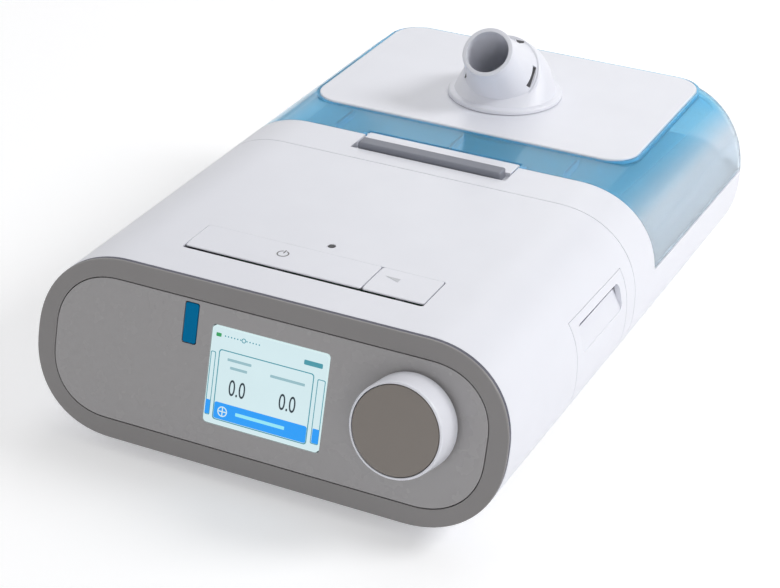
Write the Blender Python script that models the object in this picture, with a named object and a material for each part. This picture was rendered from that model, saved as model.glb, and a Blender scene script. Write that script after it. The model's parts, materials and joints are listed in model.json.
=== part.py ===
"""Bedside CPAP machine with an attached heated humidifier.

Metres, +Z up. The front panel looks along -Y and the humidifier is behind the device. Sizes along Y
are first counted from the front panel's lower edge. The last step moves the whole machine back by
half its length, so that the origin is under its middle, on the surface that it stands on.
"""

import math

import bmesh
import bpy
from mathutils import Matrix, Vector

# Fits shared by all pieces
GAP = 0.0003
CUT_OVERRUN = 0.003
FINE_STEPS = 40
ROUND_STEPS = 24
SMALL_STEPS = 12
EDGE_STEPS = 3
SLIM_CORNER_STEPS = 2
PLATE_CORNER_STEPS = 6
SHARP_DEG = 32.0

# Whole body
BODY_WIDTH = 0.193
BODY_LOW = 0.005
BODY_FRONT_HEIGHT = 0.0676
TOP_SLOPE_DEG = 1.55
CORNER_WIDTH = 0.036
CORNER_HEIGHT = 0.0329
CORNER_POWER = 2.185
CORNER_STEPS = 7
FRONT_TILT_DEG = 12.4
CASE_WALL = 0.0022
SEAM_Y = 0.1373
LID_FRONT_Y = 0.1606
BODY_LENGTH = 0.287
REAR_PLAN_RADIUS = 0.0125
REAR_TOP_RADIUS = 0.006
REAR_STEPS = 5
CASE_SPLIT_Z = 0.014

# Front bezel and lens
BEZEL_DEPTH = 0.006
BEZEL_ROUND = 0.0012
BEZEL_ROUND_STEPS = 3
LENS_INSET_X = 0.0078
LENS_INSET_Z = 0.0071
LENS_CORNER_X = 0.0254
LENS_CORNER_Z = 0.0228
LENS_THICKNESS = 0.0018
LENS_LEDGE = 0.003

# Display, in the front panel's own plane: across, and up from its lower edge
SCREEN_CENTRE_X = 0.00125
SCREEN_CENTRE_UP = 0.03563
SCREEN_WIDTH = 0.0483
SCREEN_HEIGHT = 0.03788
SCREEN_CORNER = 0.0015
MODULE_BORDER = 0.003
MODULE_BORDER_UP = 0.0007
MODULE_THICKNESS = 0.0042
STATUS_FROM_SCREEN = 0.0091
STATUS_CENTRE_UP = 0.0525
STATUS_WIDTH = 0.006
STATUS_HEIGHT = 0.0158

# Control dial and its encoder
DIAL_FROM_SIDE = 0.0369
DIAL_UP = 0.03855
DIAL_RADIUS = 0.0182
DIAL_TOP_RADIUS = 0.0179
DIAL_PROUD = 0.0153
DIAL_FOOT_GAP = 0.0015
DIAL_WALL = 0.0018
DIAL_RIM_WIDTH = 0.0010
DIAL_ROUND = 0.0010
DIAL_CAP_THICKNESS = 0.0022
DIAL_CAP_DOME = 0.0006
DIAL_HUB_RADIUS = 0.0052
DIAL_HUB_DEPTH = 0.008
DIAL_PLATE = 0.0016
SHAFT_RADIUS = 0.003
BUSH_RADIUS = 0.0046
BUSH_LENGTH = 0.0066
ENCODER_WIDTH = 0.0126
ENCODER_DEPTH = 0.0085
PLUNGER_RADIUS = 0.0014
PLUNGER_LENGTH = 0.0018
DIAL_TRAVEL = 0.001
BOARD_THICKNESS = 0.0016
BOARD_LEFT_FROM_SIDE = 0.0285
BOARD_RIGHT_FROM_SIDE = 0.0225
BOARD_FOOT_UP = 0.0105
BOARD_HEAD_UP = 0.0605
POST_RADIUS = 0.0028
POST_FROM_SIDE = 0.0325
POST_UP = 0.014

# Two flap buttons on the top
FLAPS_FROM_SIDE = 0.047
FLAPS_FRONT_Y = 0.0355
FLAPS_REAR_Y = 0.0560
FLAP_DIVIDE_X = 0.024
FLAP_CORNER = 0.0012
FLAP_THICKNESS = 0.0022
FLAP_STEM_RADIUS = 0.0016
FLAP_STEM_Y = 0.0445
THERAPY_STEM_X = -0.0136
RAMP_STEM_X = 0.0365
SWITCH_WIDTH = 0.0062
SWITCH_HEIGHT = 0.0034
SWITCH_GAP = 0.0006
SWITCH_TOP_DEPTH = 0.0047
KEY_BOARD_MARGIN = 0.0055
KEY_BOARD_REAR_Y = 0.0665
KEY_POST_X = 0.034
KEY_POST_Y = 0.0632
SENSOR_X = -0.0004
SENSOR_Y = 0.0621
SENSOR_RADIUS = 0.0013

# Filter door in the right flank, and what it covers
DOOR_FRONT_Y = 0.0745
DOOR_REAR_Y = 0.1275
DOOR_LOW_Z = 0.0245
DOOR_HIGH_Z = 0.0590
SLOT_FRONT_Y = 0.080
SLOT_REAR_Y = 0.122
SLOT_LOW_Z = 0.0450
SLOT_HIGH_Z = 0.0560
SLOT_CORNER = 0.0012
DOOR_BLOCK_DEPTH = 0.020
BAY_FROM_SIDE = 0.0087
BAY_DEPTH = 0.0155
BAY_LOW_Z = 0.0325
BAY_HIGH_Z = 0.0580
BAY_MARGIN_Y = 0.0035
BAY_WALL = 0.0015
BAY_POST_FROM_SIDE = 0.020
BAY_POST_IN = 0.0062
BAY_POST_RADIUS = 0.0022
BAY_GRILLE_SLOTS = 5
BAY_GRILLE_GAP = 0.0045
BAY_GRILLE_MARGIN = 0.004
FILTER_THICKNESS = 0.0125
CARD_LENGTH = 0.032
CARD_WIDTH = 0.024
CARD_THICKNESS = 0.0021
CARD_FROM_SIDE = 0.007
CARD_Z = 0.0285
CARD_Y = 0.0985
CARD_CORNER_CUT = 0.0035
CARD_REACH = 0.0085
SOCKET_WALL = 0.0013
SOCKET_LENGTH = 0.0275
SOCKET_STAND_HALF_WIDTH = 0.004

# Blower
BLOWER_X = -0.0215
BLOWER_Y = 0.0835
MOTOR_LOW_Z = 0.0105
MOTOR_RADIUS = 0.0165
MOTOR_HEIGHT = 0.0145
SCROLL_LOW_Z = 0.0253
SCROLL_HEIGHT = 0.0225
SCROLL_START_RADIUS = 0.0285
SCROLL_END_RADIUS = 0.0405
SCROLL_WALL = 0.0018
SCROLL_TONGUE = 0.0010
SCROLL_STEPS = 28
SCROLL_OUT_Y = 0.1215
SCROLL_LID_THICKNESS = 0.0020
INLET_RADIUS = 0.0135
INLET_LIP_WIDTH = 0.0022
INLET_LIP_HEIGHT = 0.0030
LUG_RADIUS = 0.0052
LUG_HEIGHT = 0.0030
LUG_OFFSET = 0.0026
LUG_ANGLES_DEG = (95.0, 215.0, 320.0)
MOUNT_NECK_RADIUS = 0.0036
IMPELLER_RADIUS = 0.0235
IMPELLER_DISC = 0.0014
IMPELLER_HEIGHT = 0.0125
IMPELLER_LOW_Z = 0.0300
IMPELLER_BLADES = 11
IMPELLER_HUB_RADIUS = 0.0065
BLADE_SHARE = 0.20
BLADE_SWEEP_DEG = 38.0
BLADE_RINGS = 4
AXLE_RADIUS = 0.0016
AXLE_LOW_Z = 0.0150

# Air outlet from the blower to the tank
DUCT_Z = 0.0360
DUCT_PORT_RADIUS = 0.0098
DUCT_WALL = 0.0016
DUCT_CORNER = 0.0030
DUCT_STEPS = 6
DUCT_LENGTH_SHARES = (0.0, 0.5, 1.0)
DUCT_ENTRY_HALF_HEIGHT = 0.0092

# Case fasteners and feet
SCREW_FROM_SIDE = 0.0305
SCREW_FRONT_Y = 0.045
SCREW_REAR_Y = 0.1245
SCREW_HEAD_RADIUS = 0.0030
SCREW_HEAD_HEIGHT = 0.0020
SCREW_SHANK_RADIUS = 0.0015
SCREW_LENGTH = 0.0145
SCREW_SINK = 0.0030
SCREW_DRIVE_RADIUS = 0.0014
SCREW_DRIVE_DEPTH = 0.0010
BOSS_RADIUS = 0.0042
BOSS_TOP_Z = 0.0125
FOOT_FROM_SIDE = 0.0445
FOOT_RADIUS = 0.0075
FOOT_SINK = 0.0010
FOOT_ROUND = 0.0008
FOOT_FRONT_Y = 0.026
FOOT_MIDDLE_Y = 0.116
FOOT_FROM_REAR = 0.025
DEVICE_FOOT_ROWS = (FOOT_FRONT_Y, FOOT_MIDDLE_Y)
BASE_FOOT_ROWS = (BODY_LENGTH - FOOT_FROM_REAR,)

# Humidifier base
TRAY_WALL = 0.0024
TRAY_RIM_Z = 0.0457
POCKET_HALF_WIDTH = 0.0348
POCKET_FRONT_Y = 0.1463
POCKET_FLOOR_Z = 0.0680
POCKET_WALL = 0.0024
HEATER_FROM_SIDE = 0.0445
HEATER_FRONT_Y = 0.186
HEATER_FROM_REAR = 0.023
HEATER_THICKNESS = 0.0026
HEATER_CORNER = 0.010
INLET_FROM_SIDE = 0.0515
INLET_Z = 0.022
INLET_BODY_RADIUS = 0.0058
INLET_FLANGE_RADIUS = 0.0074
INLET_FLANGE = 0.0012
INLET_BODY_LENGTH = 0.0110
INLET_BORE_RADIUS = 0.0038
INLET_BORE_DEPTH = 0.0090
INLET_PIN_RADIUS = 0.0008

# Water tank
TANK_FRONT_Y = 0.1645
TANK_FROM_REAR = 0.0125
TANK_SIDE_GAP = 0.0012
TANK_WALL = 0.0020
TANK_TOP_Z = 0.0505
TANK_CORNER = 0.012
TANK_CORNER_STEPS = 4
TANK_LEVEL_SHARES = (0.0, 0.12, 0.30, 0.55, 1.0)
TANK_RIM_WIDTH = 0.0036
SEAL_HEIGHT = 0.0014
TANK_LID_SKIRT = 0.0022
TANK_LID_HEIGHT = 0.0075
TANK_LID_STEP_IN = 0.0085
TANK_MOUTH_RADIUS = 0.0135
TANK_MOUTH_LIP = 0.0022
TANK_MOUTH_LIP_HEIGHT = 0.0016
TANK_INLET_RADIUS = 0.0096

# Lid of the humidifier
LID_WALL = 0.0030
HINGE_RADIUS = 0.0028
HINGE_BORE_RADIUS = 0.0015
HINGE_PIN_RADIUS = 0.0012
HINGE_HALF_WIDTH = 0.0237
HINGE_EAR_WIDTH = 0.0065
HINGE_NOTCH_GAP = 0.0004
PLATE_FRONT_Y = 0.1840
PLATE_FROM_REAR = 0.004
PLATE_FROM_SIDE = 0.0228
PLATE_CORNER = 0.0130
PLATE_THICKNESS = 0.0024
PLATE_PROUD = 0.0008
PLATE_ROUND = 0.0007
STAGE_BORDER = 0.0013
STAGE_RISE = 0.0002
STAGE_DEPTH = 0.0052
RIB_COUNT = 3
RIB_FROM_SIDE = 0.0445
RIB_WIDTH = 0.0012
RIB_DROP = 0.0035

# Latch on the lid's front edge
LATCH_HALF_WIDTH = 0.0339
LATCH_PIVOT_Y = 0.1628
LATCH_PIVOT_DEPTH = 0.0015
LATCH_PLATE_DEPTH = 0.0041
LATCH_SEAT_DEPTH = 0.0019
LATCH_SEAT_Y = 0.1580
LATCH_FRONT_Y = 0.1472
LATCH_HOOK_FRONT_Y = 0.1500
LATCH_HOOK_WIDTH = 0.0026
LATCH_HOOK_DEPTH = 0.0072
LATCH_PIN_RADIUS = 0.0010
LATCH_PIN_REACH = 0.0024
LATCH_NOTCH_GAP = 0.0005
LATCH_ROUND_STEPS = 6
LATCH_EAR_WIDTH = 0.0032
LATCH_EAR_DEPTH = 0.0052
LATCH_EAR_LENGTH = 0.0050
GRIP_HALF_WIDTH = 0.0320
GRIP_HEIGHT = 0.0040
GRIP_ROUND = 0.0009
GRIP_TOOTH_COUNT = 13
GRIP_TOOTH_GAP = 0.0010
GRIP_TOOTH_HEIGHT = 0.0010
GRIP_TOOTH_DEPTH = 0.0014

# Elbow, in the lid's own frame: back, and up from the lid plate
ELBOW_Y = 0.2280
ELBOW_BASE_RADIUS = 0.0250
ELBOW_BASE_HEIGHT = 0.0018
ELBOW_BASE_ROUND = 0.0009
ELBOW_FLANK_RADIUS = 0.0225
ELBOW_SPIGOT_RADIUS = 0.0200
ELBOW_SPIGOT_DEPTH = 0.0062
ELBOW_THROAT_RADIUS = 0.0140
ELBOW_THROAT_RISE = 0.0055
ELBOW_HOLE_GAP = 0.0004
COLLAR_BACK = -0.0058
COLLAR_UP = 0.0122
COLLAR_RADIUS = 0.0172
COLLAR_THICKNESS = 0.0021
COLLAR_GROOVE = 0.0005
COLLAR_GROOVE_WIDTH = 0.0005
COLLAR_LIP = 0.0011
PORT_ELEVATION_DEG = 42.0
PORT_REACH = 0.0226
PORT_RADIUS = 0.0112
PORT_BORE_RADIUS = 0.0093
PORT_BORE_BACK = 0.0125
PORT_FLARE_LENGTH = 0.0120
PORT_FLARE_STEPS = 6
PORT_RIM_ROUND = 0.0006
FLANK_RINGS = 6
WINDOW_HALF_WIDTH = 0.0062
WINDOW_FLOOR = 0.0122
WINDOW_LENGTH = 0.0060
SLOT_SIDE_FLOOR = 0.0138
SLOT_SIDE_HALF_HEIGHT = 0.0048
SLOT_SIDE_LENGTH = 0.0020
NICK_SIZE = 0.0022
NICK_UP = -0.0052
CONTACT_HALF_WIDTH = 0.0030
CONTACT_HEIGHT = 0.0022
CONTACT_LENGTH = 0.0040

# Dry box under the lid
DRY_FLANGE_RADIUS = 0.0270
DRY_POCKET_GAP = 0.0009
DRY_FLOOR = 0.0024
DRY_TUBE_WALL = 0.0028
DRY_SEAL_HEIGHT = 0.0022

# Finishes: colour, roughness, metallic, alpha
WHITE_SHELL = ((0.80, 0.81, 0.87), 0.35, 0.0, 1.0)
WARM_GREY = ((0.33, 0.31, 0.29), 0.35, 0.0, 1.0)
PANEL_GREY = ((0.36, 0.34, 0.32), 0.22, 0.0, 1.0)
CAP_GREY = ((0.28, 0.26, 0.24), 0.45, 0.0, 1.0)
LATCH_GREY = ((0.31, 0.31, 0.35), 0.6, 0.0, 1.0)
SCREEN_PALE = ((0.62, 0.83, 0.90), 0.15, 0.0, 1.0)
BLUE_LIGHT = ((0.03, 0.25, 0.48), 0.3, 0.0, 1.0)
CLEAR_BLUE = ((0.35, 0.68, 0.82), 0.08, 0.0, 0.35)
CLEAR_TUB = ((0.62, 0.80, 0.88), 0.08, 0.0, 0.35)
DARK_PLASTIC = ((0.03, 0.03, 0.035), 0.5, 0.0, 1.0)
BOARD_GREEN = ((0.02, 0.16, 0.08), 0.5, 0.0, 1.0)
STEEL = ((0.60, 0.61, 0.62), 0.3, 1.0, 1.0)
ALUMINIUM = ((0.70, 0.71, 0.72), 0.35, 1.0, 1.0)
SOFT_GREY = ((0.20, 0.21, 0.22), 0.8, 0.0, 1.0)
SEAL_WHITE = ((0.70, 0.72, 0.74), 0.7, 0.0, 1.0)
FILTER_BLUE = ((0.10, 0.12, 0.50), 0.9, 0.0, 1.0)
CARD_BLUE = ((0.05, 0.12, 0.45), 0.4, 0.0, 1.0)

# Worked out from the sizes above
HALF_WIDTH = BODY_WIDTH / 2
STATUS_CENTRE_X = SCREEN_CENTRE_X - SCREEN_WIDTH / 2 - STATUS_FROM_SCREEN
DIAL_X = HALF_WIDTH - DIAL_FROM_SIDE
BOARD_LEFT = BOARD_LEFT_FROM_SIDE - HALF_WIDTH
BOARD_RIGHT = HALF_WIDTH - BOARD_RIGHT_FROM_SIDE
POST_X = HALF_WIDTH - POST_FROM_SIDE
FLAPS_HALF_WIDTH = HALF_WIDTH - FLAPS_FROM_SIDE
BAY_OUTER_X = HALF_WIDTH - BAY_FROM_SIDE
BAY_POST_X = HALF_WIDTH - BAY_POST_FROM_SIDE
CARD_FACE_X = HALF_WIDTH - CARD_FROM_SIDE
SCREW_X = HALF_WIDTH - SCREW_FROM_SIDE
FOOT_X = HALF_WIDTH - FOOT_FROM_SIDE
HEATER_HALF_WIDTH = HALF_WIDTH - HEATER_FROM_SIDE
HEATER_REAR_Y = BODY_LENGTH - HEATER_FROM_REAR
INLET_X = HALF_WIDTH - INLET_FROM_SIDE
TANK_REAR_Y = BODY_LENGTH - TANK_FROM_REAR
PLATE_REAR_Y = BODY_LENGTH - PLATE_FROM_REAR
PLATE_HALF_WIDTH = HALF_WIDTH - PLATE_FROM_SIDE
RIB_PITCH = HALF_WIDTH - RIB_FROM_SIDE
TILT = math.radians(FRONT_TILT_DEG)
SLOPE = math.radians(TOP_SLOPE_DEG)
FRONT_TOP_Y = BODY_FRONT_HEIGHT * math.tan(TILT)
FLOOR_IN_Z = BODY_LOW + CASE_WALL
SEAM_DEVICE_Y = SEAM_Y - GAP / 2
SEAM_HUMIDIFIER_Y = SEAM_Y + GAP / 2
BAND_REAR_Y = LID_FRONT_Y - GAP / 2
LID_START_Y = LID_FRONT_Y + GAP / 2
HEATER_LOW_Z = BODY_LOW + TRAY_WALL + GAP
TANK_LOW_Z = HEATER_LOW_Z + HEATER_THICKNESS + GAP
TANK_LID_LOW_Z = TANK_TOP_Z + SEAL_HEIGHT + GAP + GAP
TANK_LID_HIGH_Z = TANK_LID_LOW_Z + TANK_LID_HEIGHT
SCROLL_HIGH_Z = SCROLL_LOW_Z + SCROLL_HEIGHT
DUCT_X = BLOWER_X + (SCROLL_START_RADIUS + SCROLL_END_RADIUS) / 2
BOARD_FACE_DEPTH = LENS_THICKNESS + BUSH_LENGTH + ENCODER_DEPTH + GAP
MOTOR_HIGH_Z = MOTOR_LOW_Z + MOTOR_HEIGHT
PLUNGER_REAR_DEPTH = BOARD_FACE_DEPTH - DIAL_TRAVEL - GAP
SHAFT_REAR_DEPTH = PLUNGER_REAR_DEPTH - PLUNGER_LENGTH - GAP


def top_z(y):
    """Height of the body's flat top at a distance y behind the front edge."""
    return BODY_LOW + BODY_FRONT_HEIGHT + math.tan(SLOPE) * (y - FRONT_TOP_Y)


def front_y(z, depth=0.0):
    """Y of the tilted front plane at height z, or of a plane that lies depth behind it."""
    return (z - BODY_LOW) * math.tan(TILT) + depth / math.cos(TILT)


def front_frame():
    """Frame on the front panel: X across, Y up the panel, Z straight out of it."""
    return Matrix.Translation((0, 0, BODY_LOW)) @ Matrix.Rotation(math.pi / 2 - TILT, 4, "X")


def top_frame(x, y, rise=0.0):
    """Frame on the sloping top at (x, y): Z is square to the top, Y runs back along it."""
    frame = Matrix.Translation((x, y, top_z(y))) @ Matrix.Rotation(SLOPE, 4, "X")
    return frame @ Matrix.Translation((0, 0, rise))


def dial_frame():
    """Frame on the dial's axis, Z pointing out of the panel."""
    return front_frame() @ Matrix.Translation((DIAL_X, DIAL_UP, 0))


def elbow_frame():
    """Frame at the elbow's swivel axis, with Z = 0 on top of the lid plate."""
    return top_frame(0, ELBOW_Y, PLATE_PROUD)


def port_frame():
    """Frame of the hose port: Z runs out of the port, Z = 0 at the collar's face."""
    turn = Matrix.Rotation(math.pi / 2 - math.radians(PORT_ELEVATION_DEG), 4, "X")
    return elbow_frame() @ Matrix.Translation((0, COLLAR_BACK, COLLAR_UP)) @ turn


def facing_y(x, y, z):
    """Frame whose Z runs back along +Y, for ducts and ports."""
    return Matrix.Translation((x, y, z)) @ Matrix.Rotation(-math.pi / 2, 4, "X")


def facing_x(x, y, z):
    """Frame whose Z runs to the right along +X, for pins."""
    return Matrix.Translation((x, y, z)) @ Matrix.Rotation(math.pi / 2, 4, "Y")


def rounded_outline(half_width, low, high, corner_x, corner_y, power=2.0, steps=CORNER_STEPS):
    """Closed outline with superellipse corners, anticlockwise, as (across, up) points."""
    quarter = []
    for k in range(steps + 1):
        angle = math.pi / 2 * k / steps
        along = max(math.cos(angle), 0.0) ** (2 / power)
        quarter.append((along, math.sin(angle) ** (2 / power)))
    points = []
    for side_x, side_y in ((1, 1), (-1, 1), (-1, -1), (1, -1)):
        run = quarter if side_x == side_y else reversed(quarter)
        for along, up in run:
            across = side_x * (half_width - corner_x + corner_x * along)
            edge = high - corner_y + corner_y * up if side_y > 0 else low + corner_y - corner_y * up
            points.append((across, edge))
    return points


def moved(outline, x, y=0.0):
    """The outline shifted by x and y."""
    return [(px + x, py + y) for px, py in outline]


def body_section(y, inset=0.0, trim=0.0, drop=0.0):
    """Body outline at y. Inset thins it all round, trim narrows it, drop lowers its top."""
    high = top_z(y)
    corner = CORNER_HEIGHT * (high - BODY_LOW) / BODY_FRONT_HEIGHT
    return rounded_outline(HALF_WIDTH - inset - trim, BODY_LOW + inset, high - inset - drop,
                           CORNER_WIDTH - inset, corner - inset - drop / 2, CORNER_POWER)


def ring_at(outline, y):
    """The (x, z) outline as a ring of points at one y."""
    return [Vector((x, y, z)) for x, z in outline]


def ring_on_front(outline, depth):
    """The (x, z) outline as a ring on the tilted plane that lies depth behind the front."""
    return [Vector((x, front_y(z, depth), z)) for x, z in outline]


def front_ring(depth, inset=0.0):
    """Body outline on the tilted plane at this depth."""
    return ring_on_front(body_section(front_y(BODY_LOW + BODY_FRONT_HEIGHT, depth), inset), depth)


def lens_ring(depth, inset=0.0):
    """Outline of the front lens on the tilted plane at this depth."""
    outline = rounded_outline(HALF_WIDTH - LENS_INSET_X - inset, BODY_LOW + LENS_INSET_Z + inset,
                              BODY_LOW + BODY_FRONT_HEIGHT - LENS_INSET_Z - inset,
                              LENS_CORNER_X - inset, LENS_CORNER_Z - inset, CORNER_POWER)
    return ring_on_front(outline, depth)


def rear_rings(start_y, inset=0.0):
    """Rings of the body from start_y to its rounded rear end."""
    plan = REAR_PLAN_RADIUS - inset
    crown = REAR_TOP_RADIUS - inset / 2
    end_y = BODY_LENGTH - inset
    rings = [ring_at(body_section(start_y, inset), start_y)]
    for k in range(REAR_STEPS + 1):
        angle = math.pi / 2 * k / REAR_STEPS
        y = end_y - plan + plan * math.sin(angle)
        trim = plan * (1 - math.cos(angle))
        late = max(y - (end_y - crown), 0.0)
        drop = crown - math.sqrt(max(crown * crown - late * late, 0.0))
        rings.append(ring_at(body_section(y, inset, trim, drop), y))
    return rings


def finish_material(name, finish):
    """A Principled material for one piece."""
    colour, roughness, metallic, alpha = finish
    material = bpy.data.materials.new(name + "_finish")
    material.use_nodes = True
    shader = material.node_tree.nodes["Principled BSDF"]
    shader.inputs["Base Color"].default_value = (*colour, 1.0)
    shader.inputs["Roughness"].default_value = roughness
    shader.inputs["Metallic"].default_value = metallic
    shader.inputs["Alpha"].default_value = alpha
    return material


def add_object(name, mesh_points, faces, finish=None):
    """One closed mesh object. Without a finish it is a cutter or a part of a union."""
    mesh = bpy.data.meshes.new(name)
    mesh.from_pydata(mesh_points, [], faces)
    work = bmesh.new()
    work.from_mesh(mesh)
    bmesh.ops.recalc_face_normals(work, faces=work.faces)
    work.to_mesh(mesh)
    work.free()
    mesh.shade_smooth()
    mesh.set_sharp_from_angle(angle=math.radians(SHARP_DEG))
    item = bpy.data.objects.new(name, mesh)
    bpy.context.scene.collection.objects.link(item)
    if finish is None:
        item.hide_render = True
        item.display_type = "WIRE"
    else:
        mesh.materials.append(finish_material(name, finish))
    return item


def skin(name, rings, finish=None, loop=False):
    """Solid whose sides join rings of equally many points, with end faces or as a loop."""
    count = len(rings[0])
    points = [point for ring in rings for point in ring]
    spans = len(rings) if loop else len(rings) - 1
    faces = []
    for r in range(spans):
        low = r * count
        high = (r + 1) % len(rings) * count
        for k in range(count):
            after = (k + 1) % count
            faces.append((low + k, low + after, high + after, high + k))
    if not loop:
        faces.append(tuple(reversed(range(count))))
        faces.append(tuple(range(len(points) - count, len(points))))
    return add_object(name, points, faces, finish)


def prism(name, outline, low, high, finish=None, frame=None):
    """Outline in the frame's XY plane, extruded from low to high along its Z."""
    frame = frame or Matrix.Identity(4)
    rings = [[frame @ Vector((x, y, z)) for x, y in outline] for z in (low, high)]
    return skin(name, rings, finish)


def box(name, x_span, y_span, z_span, finish=None, frame=None):
    """Rectangular block between three pairs of limits."""
    (left, right), (near, far) = x_span, y_span
    outline = [(left, near), (right, near), (right, far), (left, far)]
    return prism(name, outline, z_span[0], z_span[1], finish, frame)


def turned(name, profile, finish=None, frame=None, steps=ROUND_STEPS):
    """Solid of revolution about the frame's Z. A profile that starts off the axis is a ring."""
    frame = frame or Matrix.Identity(4)
    points = []
    starts = []
    for radius, height in profile:
        starts.append(len(points))
        for k in range(steps if radius > 0 else 1):
            angle = math.tau * k / steps
            points.append(frame @ Vector((radius * math.cos(angle), radius * math.sin(angle), height)))
    faces = []
    hollow = profile[0][0] > 0 and profile[-1][0] > 0
    spans = len(profile) if hollow else len(profile) - 1
    for r in range(spans):
        other = (r + 1) % len(profile)
        for k in range(steps):
            after = (k + 1) % steps
            corners = [starts[r] + (k if profile[r][0] > 0 else 0)]
            if profile[r][0] > 0:
                corners.append(starts[r] + after)
            corners.append(starts[other] + (after if profile[other][0] > 0 else 0))
            if profile[other][0] > 0:
                corners.append(starts[other] + k)
            if len(corners) > 2:
                faces.append(tuple(corners))
    return add_object(name, points, faces, finish)


def rod(name, radius, low, high, finish=None, frame=None, steps=ROUND_STEPS):
    """Plain cylinder along the frame's Z."""
    profile = [(0.0, low), (radius, low), (radius, high), (0.0, high)]
    return turned(name, profile, finish, frame, steps)


def tube(name, outer, inner, low, high, finish=None, frame=None, steps=ROUND_STEPS):
    """Plain tube along the frame's Z."""
    profile = [(outer, low), (outer, high), (inner, high), (inner, low)]
    return turned(name, profile, finish, frame, steps)


def combine(item, tools, operation):
    """Boolean each tool with the item, in order."""
    for tool in tools:
        modifier = item.modifiers.new(tool.name, "BOOLEAN")
        modifier.operation = operation
        modifier.solver = "EXACT"
        modifier.object = tool


def cut(item, *tools):
    """Take the tools' shapes out of the item."""
    combine(item, tools, "DIFFERENCE")


def fuse(item, *tools):
    """Add the tools' shapes to the item."""
    combine(item, tools, "UNION")


def soften(item, width, segments=2):
    """Small round on the item's sharp edges."""
    modifier = item.modifiers.new("soft_edges", "BEVEL")
    modifier.width = width
    modifier.segments = segments
    modifier.limit_method = "ANGLE"
    modifier.angle_limit = math.radians(SHARP_DEG)


def round_profile(radius, low, high, corner):
    """Profile of a disc whose upper edge is rounded, for turned."""
    arc = []
    for k in range(EDGE_STEPS + 1):
        angle = math.pi / 2 * k / EDGE_STEPS
        arc.append((radius - corner + corner * math.cos(angle), high - corner + corner * math.sin(angle)))
    return [(0.0, low), (radius, low), *arc, (0.0, high)]


def flank_slice(name, front, rear, low, high, finish=None):
    """The right flank's wall between four limits, as one curved panel."""
    panel = skin(name, [ring_at(body_section(front), front), ring_at(body_section(rear), rear)], finish)
    hollow_rings = [ring_at(body_section(y, CASE_WALL), y) for y in (front - CUT_OVERRUN, rear + CUT_OVERRUN)]
    cut(panel, skin(name + "_hollow", hollow_rings))
    far = HALF_WIDTH + CUT_OVERRUN
    span_y = (front - CUT_OVERRUN, rear + CUT_OVERRUN)
    cut(panel,
        box(name + "_left", (-far, HALF_WIDTH - DOOR_BLOCK_DEPTH), span_y, (0, top_z(BODY_LENGTH))),
        box(name + "_under", (0, far), span_y, (0, low)),
        box(name + "_over", (0, far), span_y, (high, top_z(BODY_LENGTH))))
    return panel


def case_screw_places():
    """(x, y) of the four screws that hold the case together."""
    return [(x, y) for y in (SCREW_FRONT_Y, SCREW_REAR_Y) for x in (-SCREW_X, SCREW_X)]


def foot_places(rows):
    """(x, y) of the two feet in each of these rows."""
    return [(x, y) for y in rows for x in (-FOOT_X, FOOT_X)]


def underside_z(x, y):
    """Height of the body's outer underside at (x, y)."""
    corner = CORNER_HEIGHT * (top_z(y) - BODY_LOW) / BODY_FRONT_HEIGHT
    beyond = max(abs(x) - (HALF_WIDTH - CORNER_WIDTH), 0.0) / CORNER_WIDTH
    return BODY_LOW + corner * (1 - (1 - beyond ** CORNER_POWER) ** (1 / CORNER_POWER))


def foot_recess(name, x, y):
    """Cutter for the shallow seat of one foot."""
    return rod(name, FOOT_RADIUS + GAP, 0, BODY_LOW + FOOT_SINK, frame=Matrix.Translation((x, y, 0)))


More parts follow.
